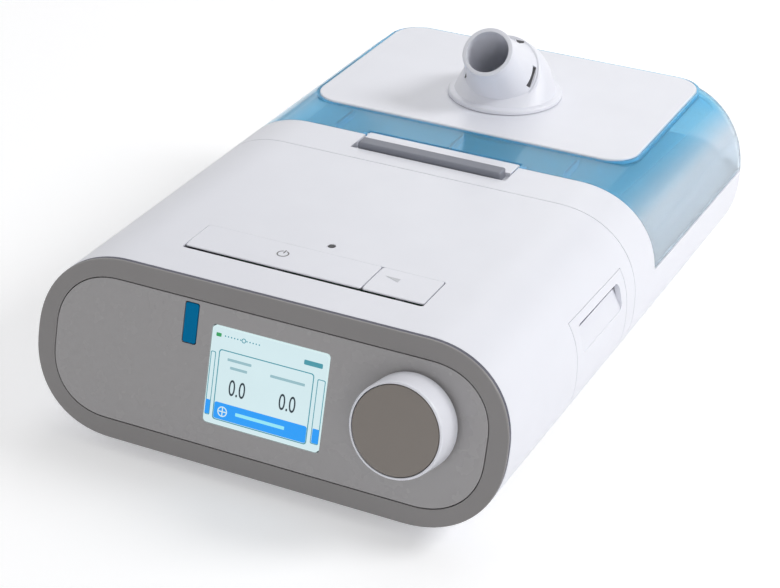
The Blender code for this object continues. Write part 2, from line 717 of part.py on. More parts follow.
def make_top_cover():
    """Upper shell of the device: a tube of the body's section, open in front, behind and below."""
    start = BEZEL_DEPTH + GAP
    rear = ring_at(body_section(SEAM_DEVICE_Y), SEAM_DEVICE_Y)
    cover = skin("top_cover", [front_ring(start), rear], WHITE_SHELL)
    inner_rear = SEAM_DEVICE_Y + CUT_OVERRUN
    cut(cover, skin("cover_hollow", [front_ring(start - CUT_OVERRUN, CASE_WALL),
                                     ring_at(body_section(inner_rear, CASE_WALL), inner_rear)]))
    far = HALF_WIDTH + CUT_OVERRUN
    cut(cover, box("cover_below", (-far, far), (-far, BODY_LENGTH), (0, CASE_SPLIT_Z + GAP / 2)))
    flaps = rounded_outline(FLAPS_HALF_WIDTH + GAP, 0, FLAPS_REAR_Y - FLAPS_FRONT_Y + GAP + GAP,
                            FLAP_CORNER, FLAP_CORNER, steps=EDGE_STEPS)
    cut(cover, prism("cover_flap_gap", moved(flaps, 0, -GAP), -FLAP_THICKNESS - CUT_OVERRUN, CUT_OVERRUN,
                     frame=top_frame(0, FLAPS_FRONT_Y)))
    cut(cover, rod("cover_sensor_hole", SENSOR_RADIUS + GAP, -CASE_WALL - CUT_OVERRUN, CUT_OVERRUN,
                   frame=top_frame(SENSOR_X, SENSOR_Y), steps=SMALL_STEPS))
    door_x = (HALF_WIDTH - DOOR_BLOCK_DEPTH, far)
    cut(cover, box("cover_door_gap", door_x, (DOOR_FRONT_Y - GAP, DOOR_REAR_Y + GAP),
                   (DOOR_LOW_Z - GAP, DOOR_HIGH_Z + GAP)))
    for k, (x, y) in enumerate(case_screw_places()):
        pillar = rod("cover_pillar_%d" % k, BOSS_RADIUS, BOSS_TOP_Z + GAP, top_z(y) - CASE_WALL,
                     frame=Matrix.Translation((x, y, 0)), steps=SMALL_STEPS)
        fuse(cover, pillar)
        cut(cover, rod("cover_screw_bore_%d" % k, SCREW_SHANK_RADIUS + GAP, 0,
                       BODY_LOW + SCREW_SINK + SCREW_LENGTH + GAP,
                       frame=Matrix.Translation((x, y, 0)), steps=SMALL_STEPS))
    for k, x in enumerate((-KEY_POST_X, KEY_POST_X)):
        fuse(cover, rod("cover_key_post_%d" % k, POST_RADIUS, -key_board_depth() + GAP, -CASE_WALL / 2,
                        frame=top_frame(x, KEY_POST_Y), steps=SMALL_STEPS))
    return cover


def make_bottom_case():
    """Lower shell of the device with its floor, rear wall, screw bosses and foot seats."""
    start = BEZEL_DEPTH + GAP
    rear = ring_at(body_section(SEAM_DEVICE_Y), SEAM_DEVICE_Y)
    case = skin("bottom_case", [front_ring(start), rear], WHITE_SHELL)
    wall_y = SEAM_DEVICE_Y - CASE_WALL
    cut(case, skin("case_hollow", [front_ring(start - CUT_OVERRUN, CASE_WALL),
                                   ring_at(body_section(wall_y, CASE_WALL), wall_y)]))
    far = HALF_WIDTH + CUT_OVERRUN
    high = top_z(BODY_LENGTH)
    cut(case, box("case_above", (-far, far), (-far, wall_y), (CASE_SPLIT_Z - GAP / 2, high)))
    seat = skin("case_wall_seat", [ring_at(body_section(y, CASE_WALL + GAP), y)
                                   for y in (wall_y - CUT_OVERRUN, SEAM_Y + CUT_OVERRUN)])
    frame_block = box("case_wall_trim", (-far, far), (wall_y - GAP, SEAM_Y + CUT_OVERRUN),
                      (CASE_SPLIT_Z - GAP / 2, high))
    cut(frame_block, seat)
    cut(case, frame_block)
    cut(case, rod("case_outlet_hole", DUCT_PORT_RADIUS + GAP, -CUT_OVERRUN, CASE_WALL + CUT_OVERRUN,
                  frame=facing_y(DUCT_X, wall_y, DUCT_Z)))
    for k, (x, y) in enumerate(case_screw_places()):
        place = Matrix.Translation((x, y, 0))
        fuse(case, rod("case_boss_%d" % k, BOSS_RADIUS, BODY_LOW + CASE_WALL, BOSS_TOP_Z, frame=place,
                       steps=SMALL_STEPS))
        cut(case, rod("case_screw_bore_%d" % k, SCREW_SHANK_RADIUS + GAP, 0, CASE_SPLIT_Z, frame=place,
                      steps=SMALL_STEPS),
            rod("case_screw_seat_%d" % k, SCREW_HEAD_RADIUS + GAP, 0, BODY_LOW + SCREW_SINK, frame=place,
                steps=SMALL_STEPS))
    for k, (x, y) in enumerate(foot_places(DEVICE_FOOT_ROWS)):
        cut(case, foot_recess("case_foot_seat_%d" % k, x, y))
    stand_top = CARD_Z - CARD_THICKNESS / 2 - GAP - SOCKET_WALL - GAP
    stand_x = CARD_FACE_X - CARD_REACH - SOCKET_LENGTH / 2
    fuse(case, box("case_card_stand", (stand_x - SOCKET_STAND_HALF_WIDTH, stand_x + SOCKET_STAND_HALF_WIDTH),
                   (CARD_Y - SOCKET_STAND_HALF_WIDTH, CARD_Y + SOCKET_STAND_HALF_WIDTH),
                   (underside_z(stand_x + SOCKET_STAND_HALF_WIDTH, CARD_Y) + CASE_WALL / 4, stand_top)))
    for k, y in enumerate((DOOR_FRONT_Y + BAY_POST_IN, DOOR_REAR_Y - BAY_POST_IN)):
        foot = underside_z(BAY_POST_X + BAY_POST_RADIUS, y) + CASE_WALL / 4
        fuse(case, rod("case_bay_post_%d" % k, BAY_POST_RADIUS, foot, BAY_LOW_Z - GAP, steps=SMALL_STEPS,
                       frame=Matrix.Translation((BAY_POST_X, y, 0))))
    return case


def make_screws():
    """Four countersunk case screws, each with a round drive."""
    for k, (x, y) in enumerate(case_screw_places()):
        low = BODY_LOW + SCREW_SINK - GAP - SCREW_HEAD_HEIGHT
        seat = low + SCREW_HEAD_HEIGHT
        profile = [(0.0, low + SCREW_DRIVE_DEPTH), (SCREW_DRIVE_RADIUS, low + SCREW_DRIVE_DEPTH),
                   (SCREW_DRIVE_RADIUS, low), (SCREW_HEAD_RADIUS, low), (SCREW_HEAD_RADIUS, seat),
                   (SCREW_SHANK_RADIUS, seat), (SCREW_SHANK_RADIUS, seat + SCREW_LENGTH),
                   (0.0, seat + SCREW_LENGTH)]
        turned("case_screw_%d" % (k + 1), profile, STEEL, Matrix.Translation((x, y, 0)), SMALL_STEPS)


def make_feet():
    """Six rubber feet, seated in shallow recesses."""
    for k, (x, y) in enumerate(foot_places(DEVICE_FOOT_ROWS + BASE_FOOT_ROWS)):
        top = BODY_LOW + FOOT_SINK - GAP
        profile = [(0.0, top), (FOOT_RADIUS, top), (FOOT_RADIUS, FOOT_ROUND),
                   (FOOT_RADIUS - FOOT_ROUND, 0.0), (0.0, 0.0)]
        turned("foot_%d" % (k + 1), profile, SOFT_GREY, Matrix.Translation((x, y, 0)), ROUND_STEPS // 2)


def make_front():
    """Bezel ring, lens with its windows, display and status light."""
    rings = []
    for k in range(BEZEL_ROUND_STEPS):
        angle = math.pi / 2 * k / BEZEL_ROUND_STEPS
        rings.append(front_ring(BEZEL_ROUND * (1 - math.sin(angle)), BEZEL_ROUND * (1 - math.cos(angle))))
    rings.reverse()
    rings.append(front_ring(BEZEL_ROUND))
    rings.append(front_ring(BEZEL_DEPTH))
    rings.append(lens_ring(BEZEL_DEPTH, LENS_LEDGE))
    rings.append(lens_ring(LENS_THICKNESS + GAP, LENS_LEDGE))
    rings.append(lens_ring(LENS_THICKNESS + GAP))
    rings.append(lens_ring(0.0))
    skin("front_bezel", rings, WARM_GREY, loop=True)

    lens = skin("front_lens", [lens_ring(0.0, GAP), lens_ring(LENS_THICKNESS, GAP)], PANEL_GREY)
    frame = front_frame()
    reach = (-LENS_THICKNESS - CUT_OVERRUN, CUT_OVERRUN)
    window = rounded_outline(SCREEN_WIDTH / 2, -SCREEN_HEIGHT / 2, SCREEN_HEIGHT / 2,
                             SCREEN_CORNER, SCREEN_CORNER, steps=EDGE_STEPS)
    window = moved(window, SCREEN_CENTRE_X, SCREEN_CENTRE_UP)
    status = rounded_outline(STATUS_WIDTH / 2, -STATUS_HEIGHT / 2, STATUS_HEIGHT / 2,
                             SCREEN_CORNER / 2, SCREEN_CORNER / 2, steps=SLIM_CORNER_STEPS)
    status = moved(status, STATUS_CENTRE_X, STATUS_CENTRE_UP)
    cut(lens, prism("lens_window", window, *reach, frame=frame),
        prism("lens_status_window", status, *reach, frame=frame),
        rod("lens_dial_hole", BUSH_RADIUS + GAP, *reach, frame=dial_frame()))

    glass = rounded_outline(SCREEN_WIDTH / 2 - GAP, GAP - SCREEN_HEIGHT / 2, SCREEN_HEIGHT / 2 - GAP,
                            SCREEN_CORNER, SCREEN_CORNER, steps=EDGE_STEPS)
    glass = moved(glass, SCREEN_CENTRE_X, SCREEN_CENTRE_UP)
    prism("display_glass", glass, -LENS_THICKNESS, 0, SCREEN_PALE, frame)
    module = rounded_outline(SCREEN_WIDTH / 2 + MODULE_BORDER, -SCREEN_HEIGHT / 2 - MODULE_BORDER_UP,
                             SCREEN_HEIGHT / 2 + MODULE_BORDER_UP,
                             SCREEN_CORNER, SCREEN_CORNER, steps=SLIM_CORNER_STEPS)
    back = -LENS_THICKNESS - GAP
    prism("display_module", moved(module, SCREEN_CENTRE_X, SCREEN_CENTRE_UP), back - MODULE_THICKNESS, back,
          DARK_PLASTIC, frame)
    light = rounded_outline(STATUS_WIDTH / 2 - GAP, GAP - STATUS_HEIGHT / 2, STATUS_HEIGHT / 2 - GAP,
                            SCREEN_CORNER / 2, SCREEN_CORNER / 2, steps=SLIM_CORNER_STEPS)
    prism("status_light", moved(light, STATUS_CENTRE_X, STATUS_CENTRE_UP), -LENS_THICKNESS, 0, BLUE_LIGHT,
          frame)

    board = box("main_board", (BOARD_LEFT, BOARD_RIGHT), (BOARD_FOOT_UP, BOARD_HEAD_UP),
                (-BOARD_FACE_DEPTH - BOARD_THICKNESS, -BOARD_FACE_DEPTH), BOARD_GREEN, frame)
    for k, x in enumerate((-POST_X, POST_X)):
        place = frame @ Matrix.Translation((x, POST_UP, 0))
        cut(board, rod("board_post_hole_%d" % k, POST_RADIUS / 2, -BOARD_FACE_DEPTH - CUT_OVERRUN,
                       -BOARD_FACE_DEPTH + CUT_OVERRUN, frame=place, steps=SMALL_STEPS))


def make_dial():
    """Turning knob with its cap and shaft, and the encoder that carries them."""
    frame = dial_frame()
    low, high = DIAL_FOOT_GAP, DIAL_PROUD - DIAL_CAP_DOME
    plate_low = high - DIAL_CAP_THICKNESS - GAP - DIAL_PLATE
    cap_seat = DIAL_TOP_RADIUS - DIAL_RIM_WIDTH
    profile = [(DIAL_RADIUS, low), (DIAL_TOP_RADIUS, high - DIAL_ROUND),
               (DIAL_TOP_RADIUS - DIAL_ROUND / 3, high - DIAL_ROUND / 3), (cap_seat + GAP, high),
               (cap_seat, high - GAP), (cap_seat, plate_low + DIAL_PLATE), (0.0, plate_low + DIAL_PLATE)]
    under = [(0.0, plate_low), (SHAFT_RADIUS + GAP, plate_low), (SHAFT_RADIUS + GAP,
                                                                 plate_low - DIAL_HUB_DEPTH),
             (DIAL_HUB_RADIUS, plate_low - DIAL_HUB_DEPTH), (DIAL_HUB_RADIUS, plate_low),
             (DIAL_RADIUS - DIAL_WALL, plate_low), (DIAL_RADIUS - DIAL_WALL, low)]
    turned("dial_knob", under + profile, WHITE_SHELL, frame, FINE_STEPS)

    cap_radius = cap_seat - GAP
    cap_low = plate_low + DIAL_PLATE + GAP
    cap = [(0.0, cap_low), (cap_radius, cap_low), (cap_radius, high - DIAL_ROUND / 2),
           (cap_radius - DIAL_ROUND / 2, high), (cap_radius / 2, high + DIAL_CAP_DOME * 3 / 4),
           (0.0, DIAL_PROUD)]
    turned("dial_cap", cap, CAP_GREY, frame, FINE_STEPS)
    rod("dial_shaft", SHAFT_RADIUS, -SHAFT_REAR_DEPTH, plate_low - GAP, STEEL, frame, SMALL_STEPS)

    rod("dial_plunger", PLUNGER_RADIUS, -PLUNGER_REAR_DEPTH, PLUNGER_LENGTH - PLUNGER_REAR_DEPTH,
        DARK_PLASTIC, frame, SMALL_STEPS)

    half = ENCODER_WIDTH / 2
    encoder_low = -BOARD_FACE_DEPTH + GAP
    encoder_high = encoder_low + ENCODER_DEPTH - GAP
    encoder = box("dial_encoder", (-half, half), (-half, half), (encoder_low, encoder_high), DARK_PLASTIC,
                  frame)
    fuse(encoder, rod("encoder_bush", BUSH_RADIUS, encoder_high - GAP, encoder_high + BUSH_LENGTH,
                      frame=frame,
                      steps=SMALL_STEPS))
    cut(encoder, rod("encoder_bore", SHAFT_RADIUS + GAP, encoder_low - CUT_OVERRUN, CUT_OVERRUN, frame=frame,
                     steps=SMALL_STEPS))


def key_board_depth():
    """Depth of the key board's upper face under the body's top."""
    return FLAP_THICKNESS + SWITCH_TOP_DEPTH + SWITCH_HEIGHT + GAP


def make_flap(name, left, right, stem_x):
    """One flap button: a plate with a rounded front corner and a stem over its switch."""
    frame = top_frame(0, FLAPS_FRONT_Y)
    outline = rounded_outline((right - left) / 2, 0, FLAPS_REAR_Y - FLAPS_FRONT_Y, FLAP_CORNER, FLAP_CORNER,
                              steps=EDGE_STEPS)
    flap = prism(name, moved(outline, (left + right) / 2), -FLAP_THICKNESS, 0, WHITE_SHELL, frame)
    stem_low = -FLAP_THICKNESS - SWITCH_TOP_DEPTH + SWITCH_GAP
    fuse(flap, rod(name + "_stem", FLAP_STEM_RADIUS, stem_low, -FLAP_THICKNESS / 2, steps=SMALL_STEPS,
                   frame=top_frame(stem_x, FLAP_STEM_Y)))
    return flap


def make_keys():
    """Therapy and ramp flaps, their switches, the key board and the light sensor."""
    make_flap("therapy_button", -FLAPS_HALF_WIDTH, FLAP_DIVIDE_X - GAP / 2, THERAPY_STEM_X)
    make_flap("ramp_button", FLAP_DIVIDE_X + GAP / 2, FLAPS_HALF_WIDTH, RAMP_STEM_X)
    board_top = -key_board_depth()
    half = SWITCH_WIDTH / 2
    for name, x in (("therapy_switch", THERAPY_STEM_X), ("ramp_switch", RAMP_STEM_X)):
        frame = top_frame(x, FLAP_STEM_Y)
        switch = box(name, (-half, half), (-half, half), (board_top + GAP,
                                                          board_top + GAP + SWITCH_HEIGHT / 2),
                     DARK_PLASTIC, frame)
        fuse(switch, rod(name + "_key", half / 2, board_top + GAP + GAP, board_top + GAP + SWITCH_HEIGHT,
                         frame=frame, steps=SMALL_STEPS))
    frame = top_frame(0, FLAPS_FRONT_Y)
    reach = KEY_BOARD_REAR_Y - FLAPS_FRONT_Y
    side = FLAPS_HALF_WIDTH - KEY_BOARD_MARGIN
    box("key_board", (-side, side), (KEY_BOARD_MARGIN / 2, reach), (board_top - BOARD_THICKNESS, board_top),
        BOARD_GREEN, frame)
    rod("sensor_lens", SENSOR_RADIUS, board_top + GAP, 0, DARK_PLASTIC, top_frame(SENSOR_X, SENSOR_Y),
        SMALL_STEPS)


def make_filter_door():
    """Curved door in the right flank, with the air slot through it."""
    door = flank_slice("filter_door", DOOR_FRONT_Y, DOOR_REAR_Y, DOOR_LOW_Z, DOOR_HIGH_Z, WHITE_SHELL)
    slot = rounded_outline((SLOT_HIGH_Z - SLOT_LOW_Z) / 2, SLOT_FRONT_Y, SLOT_REAR_Y, SLOT_CORNER,
                           SLOT_CORNER,
                           steps=EDGE_STEPS)
    upright = Matrix.Translation((0, 0, (SLOT_LOW_Z + SLOT_HIGH_Z) / 2)) @ Matrix.Rotation(math.pi / 2, 4,
                                                                                           "Y")
    cut(door, prism("door_slot", slot, HALF_WIDTH - DOOR_BLOCK_DEPTH, HALF_WIDTH + CUT_OVERRUN,
                    frame=upright))
    return door


def make_filter_bay():
    """Open bay with a grille at its back, the foam filter in it, and the memory card below."""
    front, rear = DOOR_FRONT_Y + BAY_MARGIN_Y, DOOR_REAR_Y - BAY_MARGIN_Y
    inner_x = BAY_OUTER_X - BAY_DEPTH
    bay = box("filter_bay", (inner_x, BAY_OUTER_X), (front, rear), (BAY_LOW_Z, BAY_HIGH_Z), WHITE_SHELL)
    cut(bay, box("bay_hollow", (inner_x + BAY_WALL, BAY_OUTER_X + CUT_OVERRUN),
                 (front + BAY_WALL, rear - BAY_WALL), (BAY_LOW_Z + BAY_WALL, BAY_HIGH_Z - BAY_WALL)))
    pitch = (rear - front - BAY_WALL - BAY_WALL) / BAY_GRILLE_SLOTS
    for k in range(BAY_GRILLE_SLOTS):
        middle = front + BAY_WALL + pitch * (k + 1 / 2)
        cut(bay, box("bay_grille_%d" % k, (inner_x - CUT_OVERRUN, inner_x + BAY_WALL + CUT_OVERRUN),
                     (middle - BAY_GRILLE_GAP / 2, middle + BAY_GRILLE_GAP / 2),
                     (BAY_LOW_Z + BAY_GRILLE_MARGIN, BAY_HIGH_Z - BAY_GRILLE_MARGIN)))
    edge = BAY_WALL + GAP
    box("air_filter", (inner_x + edge, inner_x + edge + FILTER_THICKNESS), (front + edge, rear - edge),
        (BAY_LOW_Z + edge, BAY_HIGH_Z - edge), FILTER_BLUE)

    card_low, card_high = CARD_Z - CARD_THICKNESS / 2, CARD_Z + CARD_THICKNESS / 2
    side = CARD_WIDTH / 2
    card_left = CARD_FACE_X - CARD_LENGTH
    outline = [(card_left, CARD_Y - side), (CARD_FACE_X, CARD_Y - side), (CARD_FACE_X, CARD_Y + side),
               (card_left + CARD_CORNER_CUT, CARD_Y + side), (card_left, CARD_Y + side - CARD_CORNER_CUT)]
    prism("memory_card", outline, card_low, card_high, CARD_BLUE)
    mouth = CARD_FACE_X - CARD_REACH
    wall = SOCKET_WALL + GAP
    socket = box("card_socket", (mouth - SOCKET_LENGTH, mouth), (CARD_Y - side - wall, CARD_Y + side + wall),
                 (card_low - wall, card_high + wall - GAP), STEEL)
    cut(socket, box("socket_mouth", (card_left - GAP, mouth + CUT_OVERRUN), (CARD_Y - side - GAP,
                                                                             CARD_Y + side + GAP),
                    (card_low - GAP, card_high + GAP)))


def scroll_outline(inset, out_y):
    """Plan of the blower's scroll: a growing spiral that leaves straight back at its widest."""
    points = []
    for k in range(SCROLL_STEPS + 1):
        angle = math.tau * k / SCROLL_STEPS
        grown = SCROLL_START_RADIUS + (SCROLL_END_RADIUS - SCROLL_START_RADIUS) * k / SCROLL_STEPS
        radius = grown - inset
        points.append((BLOWER_X + radius * math.cos(angle), BLOWER_Y + radius * math.sin(angle)))
    points.append((BLOWER_X + SCROLL_END_RADIUS - inset, out_y))
    inner_x = BLOWER_X + SCROLL_START_RADIUS + (SCROLL_TONGUE if inset > 0 else 0.0)
    points.append((inner_x, out_y))
    if inset > 0:
        points.append((inner_x, BLOWER_Y))
    return points


def make_blower():
    """Scroll housing with its lid, motor, impeller, axle and three soft mounts."""
    housing = prism("blower_housing", scroll_outline(0.0, SCROLL_OUT_Y), SCROLL_LOW_Z, SCROLL_HIGH_Z,
                    DARK_PLASTIC)
    cut(housing, prism("scroll_hollow", scroll_outline(SCROLL_WALL, SCROLL_OUT_Y + CUT_OVERRUN),
                       SCROLL_LOW_Z + SCROLL_WALL, SCROLL_HIGH_Z + CUT_OVERRUN))
    middle = Matrix.Translation((BLOWER_X, BLOWER_Y, 0))
    for k, degrees in enumerate(LUG_ANGLES_DEG):
        angle = math.radians(degrees)
        grown = SCROLL_START_RADIUS + (SCROLL_END_RADIUS - SCROLL_START_RADIUS) * angle / math.tau
        x = BLOWER_X + (grown + LUG_OFFSET) * math.cos(angle)
        y = BLOWER_Y + (grown + LUG_OFFSET) * math.sin(angle)
        place = Matrix.Translation((x, y, 0))
        fuse(housing, rod("scroll_lug_%d" % k, LUG_RADIUS, SCROLL_LOW_Z, SCROLL_LOW_Z + LUG_HEIGHT,
                          frame=place,
                          steps=SMALL_STEPS))
        low, high = FLOOR_IN_Z + GAP, SCROLL_LOW_Z - GAP
        waist = (low + high) / 2
        profile = [(0.0, low), (LUG_RADIUS, low), (LUG_RADIUS, low + LUG_HEIGHT), (MOUNT_NECK_RADIUS, waist),
                   (LUG_RADIUS, high - LUG_HEIGHT), (LUG_RADIUS, high), (0.0, high)]
        turned("blower_mount_%d" % (k + 1), profile, SOFT_GREY, place, SMALL_STEPS)
    cut(housing, rod("scroll_axle_hole", AXLE_RADIUS + GAP, 0, SCROLL_HIGH_Z, frame=middle,
                     steps=SMALL_STEPS))

    lid_low = SCROLL_HIGH_Z + GAP
    lid_high = lid_low + SCROLL_LID_THICKNESS
    lid = prism("blower_cover", scroll_outline(0.0, SCROLL_OUT_Y), lid_low, lid_high, DARK_PLASTIC)
    fuse(lid, rod("inlet_lip", INLET_RADIUS + INLET_LIP_WIDTH, lid_high - GAP, lid_high + INLET_LIP_HEIGHT,
                  frame=middle))
    cut(lid, rod("inlet_hole", INLET_RADIUS, lid_low - CUT_OVERRUN, lid_high + INLET_LIP_HEIGHT + CUT_OVERRUN,
                 frame=middle))

    motor_top = min(MOTOR_HIGH_Z, SCROLL_LOW_Z - GAP)
    motor = turned("blower_motor", round_profile(MOTOR_RADIUS, MOTOR_LOW_Z, motor_top, FOOT_ROUND), STEEL,
                   middle)
    cut(motor, rod("motor_bore", AXLE_RADIUS + GAP, AXLE_LOW_Z - GAP, motor_top + CUT_OVERRUN, frame=middle,
                   steps=SMALL_STEPS))
    make_impeller(middle)


def make_impeller(middle):
    """Backward-curved blades that stand on a disc, as one mesh, and the axle under their hub."""
    low, disc = IMPELLER_LOW_Z, IMPELLER_LOW_Z + IMPELLER_DISC
    high = IMPELLER_LOW_Z + IMPELLER_HEIGHT
    work = bmesh.new()
    radii = [IMPELLER_HUB_RADIUS + (IMPELLER_RADIUS - IMPELLER_HUB_RADIUS) * k / BLADE_RINGS
             for k in range(BLADE_RINGS + 1)]
    rows = []
    for k, radius in enumerate(radii):
        sweep = math.radians(BLADE_SWEEP_DEG) * k / BLADE_RINGS
        row = []
        for blade in range(IMPELLER_BLADES):
            for edge in (0.0, BLADE_SHARE):
                angle = math.tau * (blade + edge) / IMPELLER_BLADES - sweep
                place = Vector((radius * math.cos(angle), radius * math.sin(angle), disc))
                row.append(work.verts.new(middle @ place))
        rows.append(row)
    hub_face = work.faces.new(rows[0])
    raised = [hub_face]
    count = len(rows[0])
    for k in range(BLADE_RINGS):
        for edge in range(count):
            after = (edge + 1) % count
            face = work.faces.new((rows[k][edge], rows[k + 1][edge], rows[k + 1][after], rows[k][after]))
            if edge % 2 == 0 and k > 0:
                raised.append(face)
    under = [work.verts.new(vert.co + Vector((0, 0, low - disc))) for vert in rows[-1]]
    for edge in range(count):
        after = (edge + 1) % count
        work.faces.new((rows[-1][edge], under[edge], under[after], rows[-1][after]))
    work.faces.new(reversed(under))
    lifted = bmesh.ops.extrude_face_region(work, geom=raised)
    risen = [part for part in lifted["geom"] if isinstance(part, bmesh.types.BMVert)]
    bmesh.ops.translate(work, verts=risen, vec=(0, 0, high - disc))
    bmesh.ops.delete(work, geom=[face for face in raised if face.is_valid], context="FACES_ONLY")
    bmesh.ops.recalc_face_normals(work, faces=work.faces)
    points = [vert.co.copy() for vert in work.verts]
    work.verts.index_update()
    faces = [tuple(vert.index for vert in face.verts) for face in work.faces]
    work.free()
    impeller = add_object("impeller", points, faces, ALUMINIUM)
    cut(impeller, rod("impeller_bore", AXLE_RADIUS + GAP, low - CUT_OVERRUN, high - IMPELLER_DISC,
                      frame=middle,
                      steps=SMALL_STEPS))
    rod("impeller_axle", AXLE_RADIUS, AXLE_LOW_Z, high - IMPELLER_DISC - GAP, STEEL, middle, SMALL_STEPS)


def make_ducts():
    """Duct from the scroll's square mouth to the round port, and the tube from there to the tank."""
    half_in = (SCROLL_END_RADIUS - SCROLL_START_RADIUS) / 2
    start, end = SCROLL_OUT_Y + GAP, SEAM_DEVICE_Y
    straight = SEAM_DEVICE_Y - CASE_WALL - GAP
    outer = []
    inner = []
    stations = [(start + (straight - start) * share, share) for share in DUCT_LENGTH_SHARES]
    for y, share in stations + [(end, DUCT_LENGTH_SHARES[-1])]:
        for rings, inset in ((outer, 0.0), (inner, DUCT_WALL)):
            wide = half_in + (DUCT_PORT_RADIUS - half_in) * share - inset
            tall = DUCT_ENTRY_HALF_HEIGHT + (DUCT_PORT_RADIUS - DUCT_ENTRY_HALF_HEIGHT) * share - inset
            corner = DUCT_CORNER + (DUCT_PORT_RADIUS - DUCT_CORNER) * share - inset
            outline = rounded_outline(wide, -tall, tall, corner, corner, steps=DUCT_STEPS)
            rings.append(ring_at(moved(outline, DUCT_X, DUCT_Z), y))
    skin("outlet_duct", outer + inner[::-1], DARK_PLASTIC, loop=True)
    tube("humidifier_duct", DUCT_PORT_RADIUS, DUCT_PORT_RADIUS - DUCT_WALL, SEAM_HUMIDIFIER_Y,
         TANK_FRONT_Y - GAP, SEAL_WHITE, facing_y(DUCT_X, 0, DUCT_Z))


def make_humidifier_base():
    """White base: an arch behind the device, then a tray that holds the heater and the tank."""
    base = skin("humidifier_base", rear_rings(SEAM_HUMIDIFIER_Y), WHITE_SHELL)
    cut(base, skin("base_hollow", rear_rings(SEAM_HUMIDIFIER_Y + TRAY_WALL, TRAY_WALL)))
    far = HALF_WIDTH + CUT_OVERRUN
    cut(base, box("base_above", (-far, far), (BAND_REAR_Y, BODY_LENGTH + CUT_OVERRUN),
                  (TRAY_RIM_Z - GAP, top_z(BODY_LENGTH) + CUT_OVERRUN)))
    wall = POCKET_WALL
    fuse(base, box("pocket_block", (-POCKET_HALF_WIDTH - wall, POCKET_HALF_WIDTH + wall),
                   (SEAM_HUMIDIFIER_Y + TRAY_WALL / 2, BAND_REAR_Y),
                   (POCKET_FLOOR_Z - wall, top_z(SEAM_Y) - TRAY_WALL / 2)))
    cut(base, box("pocket_hollow", (-POCKET_HALF_WIDTH, POCKET_HALF_WIDTH),
                  (POCKET_FRONT_Y, BAND_REAR_Y + CUT_OVERRUN), (POCKET_FLOOR_Z, top_z(BODY_LENGTH))))
    cut(base, rod("base_air_hole", DUCT_PORT_RADIUS + GAP, -CUT_OVERRUN, TRAY_WALL + CUT_OVERRUN,
                  frame=facing_y(DUCT_X, SEAM_HUMIDIFIER_Y, DUCT_Z)))
    cut(base, rod("base_inlet_hole", INLET_BODY_RADIUS + GAP, -TRAY_WALL - CUT_OVERRUN, CUT_OVERRUN,
                  frame=facing_y(INLET_X, BODY_LENGTH, INLET_Z)))
    cut(base, rod("base_hinge_notch", HINGE_RADIUS + HINGE_NOTCH_GAP, -HINGE_HALF_WIDTH - GAP,
                  HINGE_HALF_WIDTH + GAP, frame=facing_x(0, BODY_LENGTH, TRAY_RIM_Z)))
    for k, side in enumerate((-1, 1)):
        near = HINGE_HALF_WIDTH + GAP
        span = sorted((side * near, side * (near + HINGE_EAR_WIDTH)))
        fuse(base, rod("base_hinge_ear_%d" % k, HINGE_RADIUS, *span, frame=facing_x(0, BODY_LENGTH,
                                                                                    TRAY_RIM_Z)))
    reach = HINGE_HALF_WIDTH + HINGE_EAR_WIDTH + CUT_OVERRUN
    cut(base, rod("base_hinge_bore", HINGE_BORE_RADIUS, -reach, reach, steps=SMALL_STEPS,
                  frame=facing_x(0, BODY_LENGTH, TRAY_RIM_Z)))
    for k, (x, y) in enumerate(foot_places(BASE_FOOT_ROWS)):
        cut(base, foot_recess("base_foot_seat_%d" % k, x, y))
    return base


def make_base_fittings():
    """Hinge pin, heater plate and power inlet, which sit in the humidifier base."""
    reach = HINGE_HALF_WIDTH + HINGE_EAR_WIDTH
    rod("hinge_pin", HINGE_PIN_RADIUS, -reach, reach, STEEL, facing_x(0, BODY_LENGTH, TRAY_RIM_Z),
        SMALL_STEPS)
    outline = rounded_outline(HEATER_HALF_WIDTH, HEATER_FRONT_Y, HEATER_REAR_Y, HEATER_CORNER, HEATER_CORNER,
                              steps=PLATE_CORNER_STEPS)
    prism("heater_plate", outline, HEATER_LOW_Z, HEATER_LOW_Z + HEATER_THICKNESS, ALUMINIUM)
    face = INLET_FLANGE + GAP
    floor = face - INLET_BORE_DEPTH
    inner = face - INLET_BODY_LENGTH
    profile = [(0.0, inner), (INLET_BODY_RADIUS, inner), (INLET_BODY_RADIUS, GAP), (INLET_FLANGE_RADIUS, GAP),
               (INLET_FLANGE_RADIUS, face), (INLET_BORE_RADIUS, face), (INLET_BORE_RADIUS, floor),
               (INLET_PIN_RADIUS, floor), (INLET_PIN_RADIUS, face - INLET_FLANGE), (0.0, face - INLET_FLANGE)]
    turned("power_inlet", profile, DARK_PLASTIC, facing_y(INLET_X, BODY_LENGTH, INLET_Z), SMALL_STEPS)


def flank_half_width(z, inset):
    """Half width of the body's section at height z, thinned by inset, in the tank's middle."""
    high = top_z((TANK_FRONT_Y + TANK_REAR_Y) / 2) - inset
    low = BODY_LOW + inset
    corner = CORNER_HEIGHT * (top_z(TANK_REAR_Y) - BODY_LOW) / BODY_FRONT_HEIGHT - inset
    beyond = max(low + corner - z, z - (high - corner), 0.0) / corner
    width_share = (1 - beyond ** CORNER_POWER) ** (1 / CORNER_POWER)
    return HALF_WIDTH - CORNER_WIDTH + (CORNER_WIDTH - inset) * width_share


def tank_ring(z, inset, level=None):
    """Plan ring of the tank at height z, following the flanks of the tray at that level."""
    side = flank_half_width(z if level is None else level, TRAY_WALL + TANK_SIDE_GAP) - inset
    outline = rounded_outline(side, TANK_FRONT_Y + inset, TANK_REAR_Y - inset, TANK_CORNER - inset,
                              TANK_CORNER - inset, steps=TANK_CORNER_STEPS)
    return [Vector((x, y, z)) for x, y in outline]


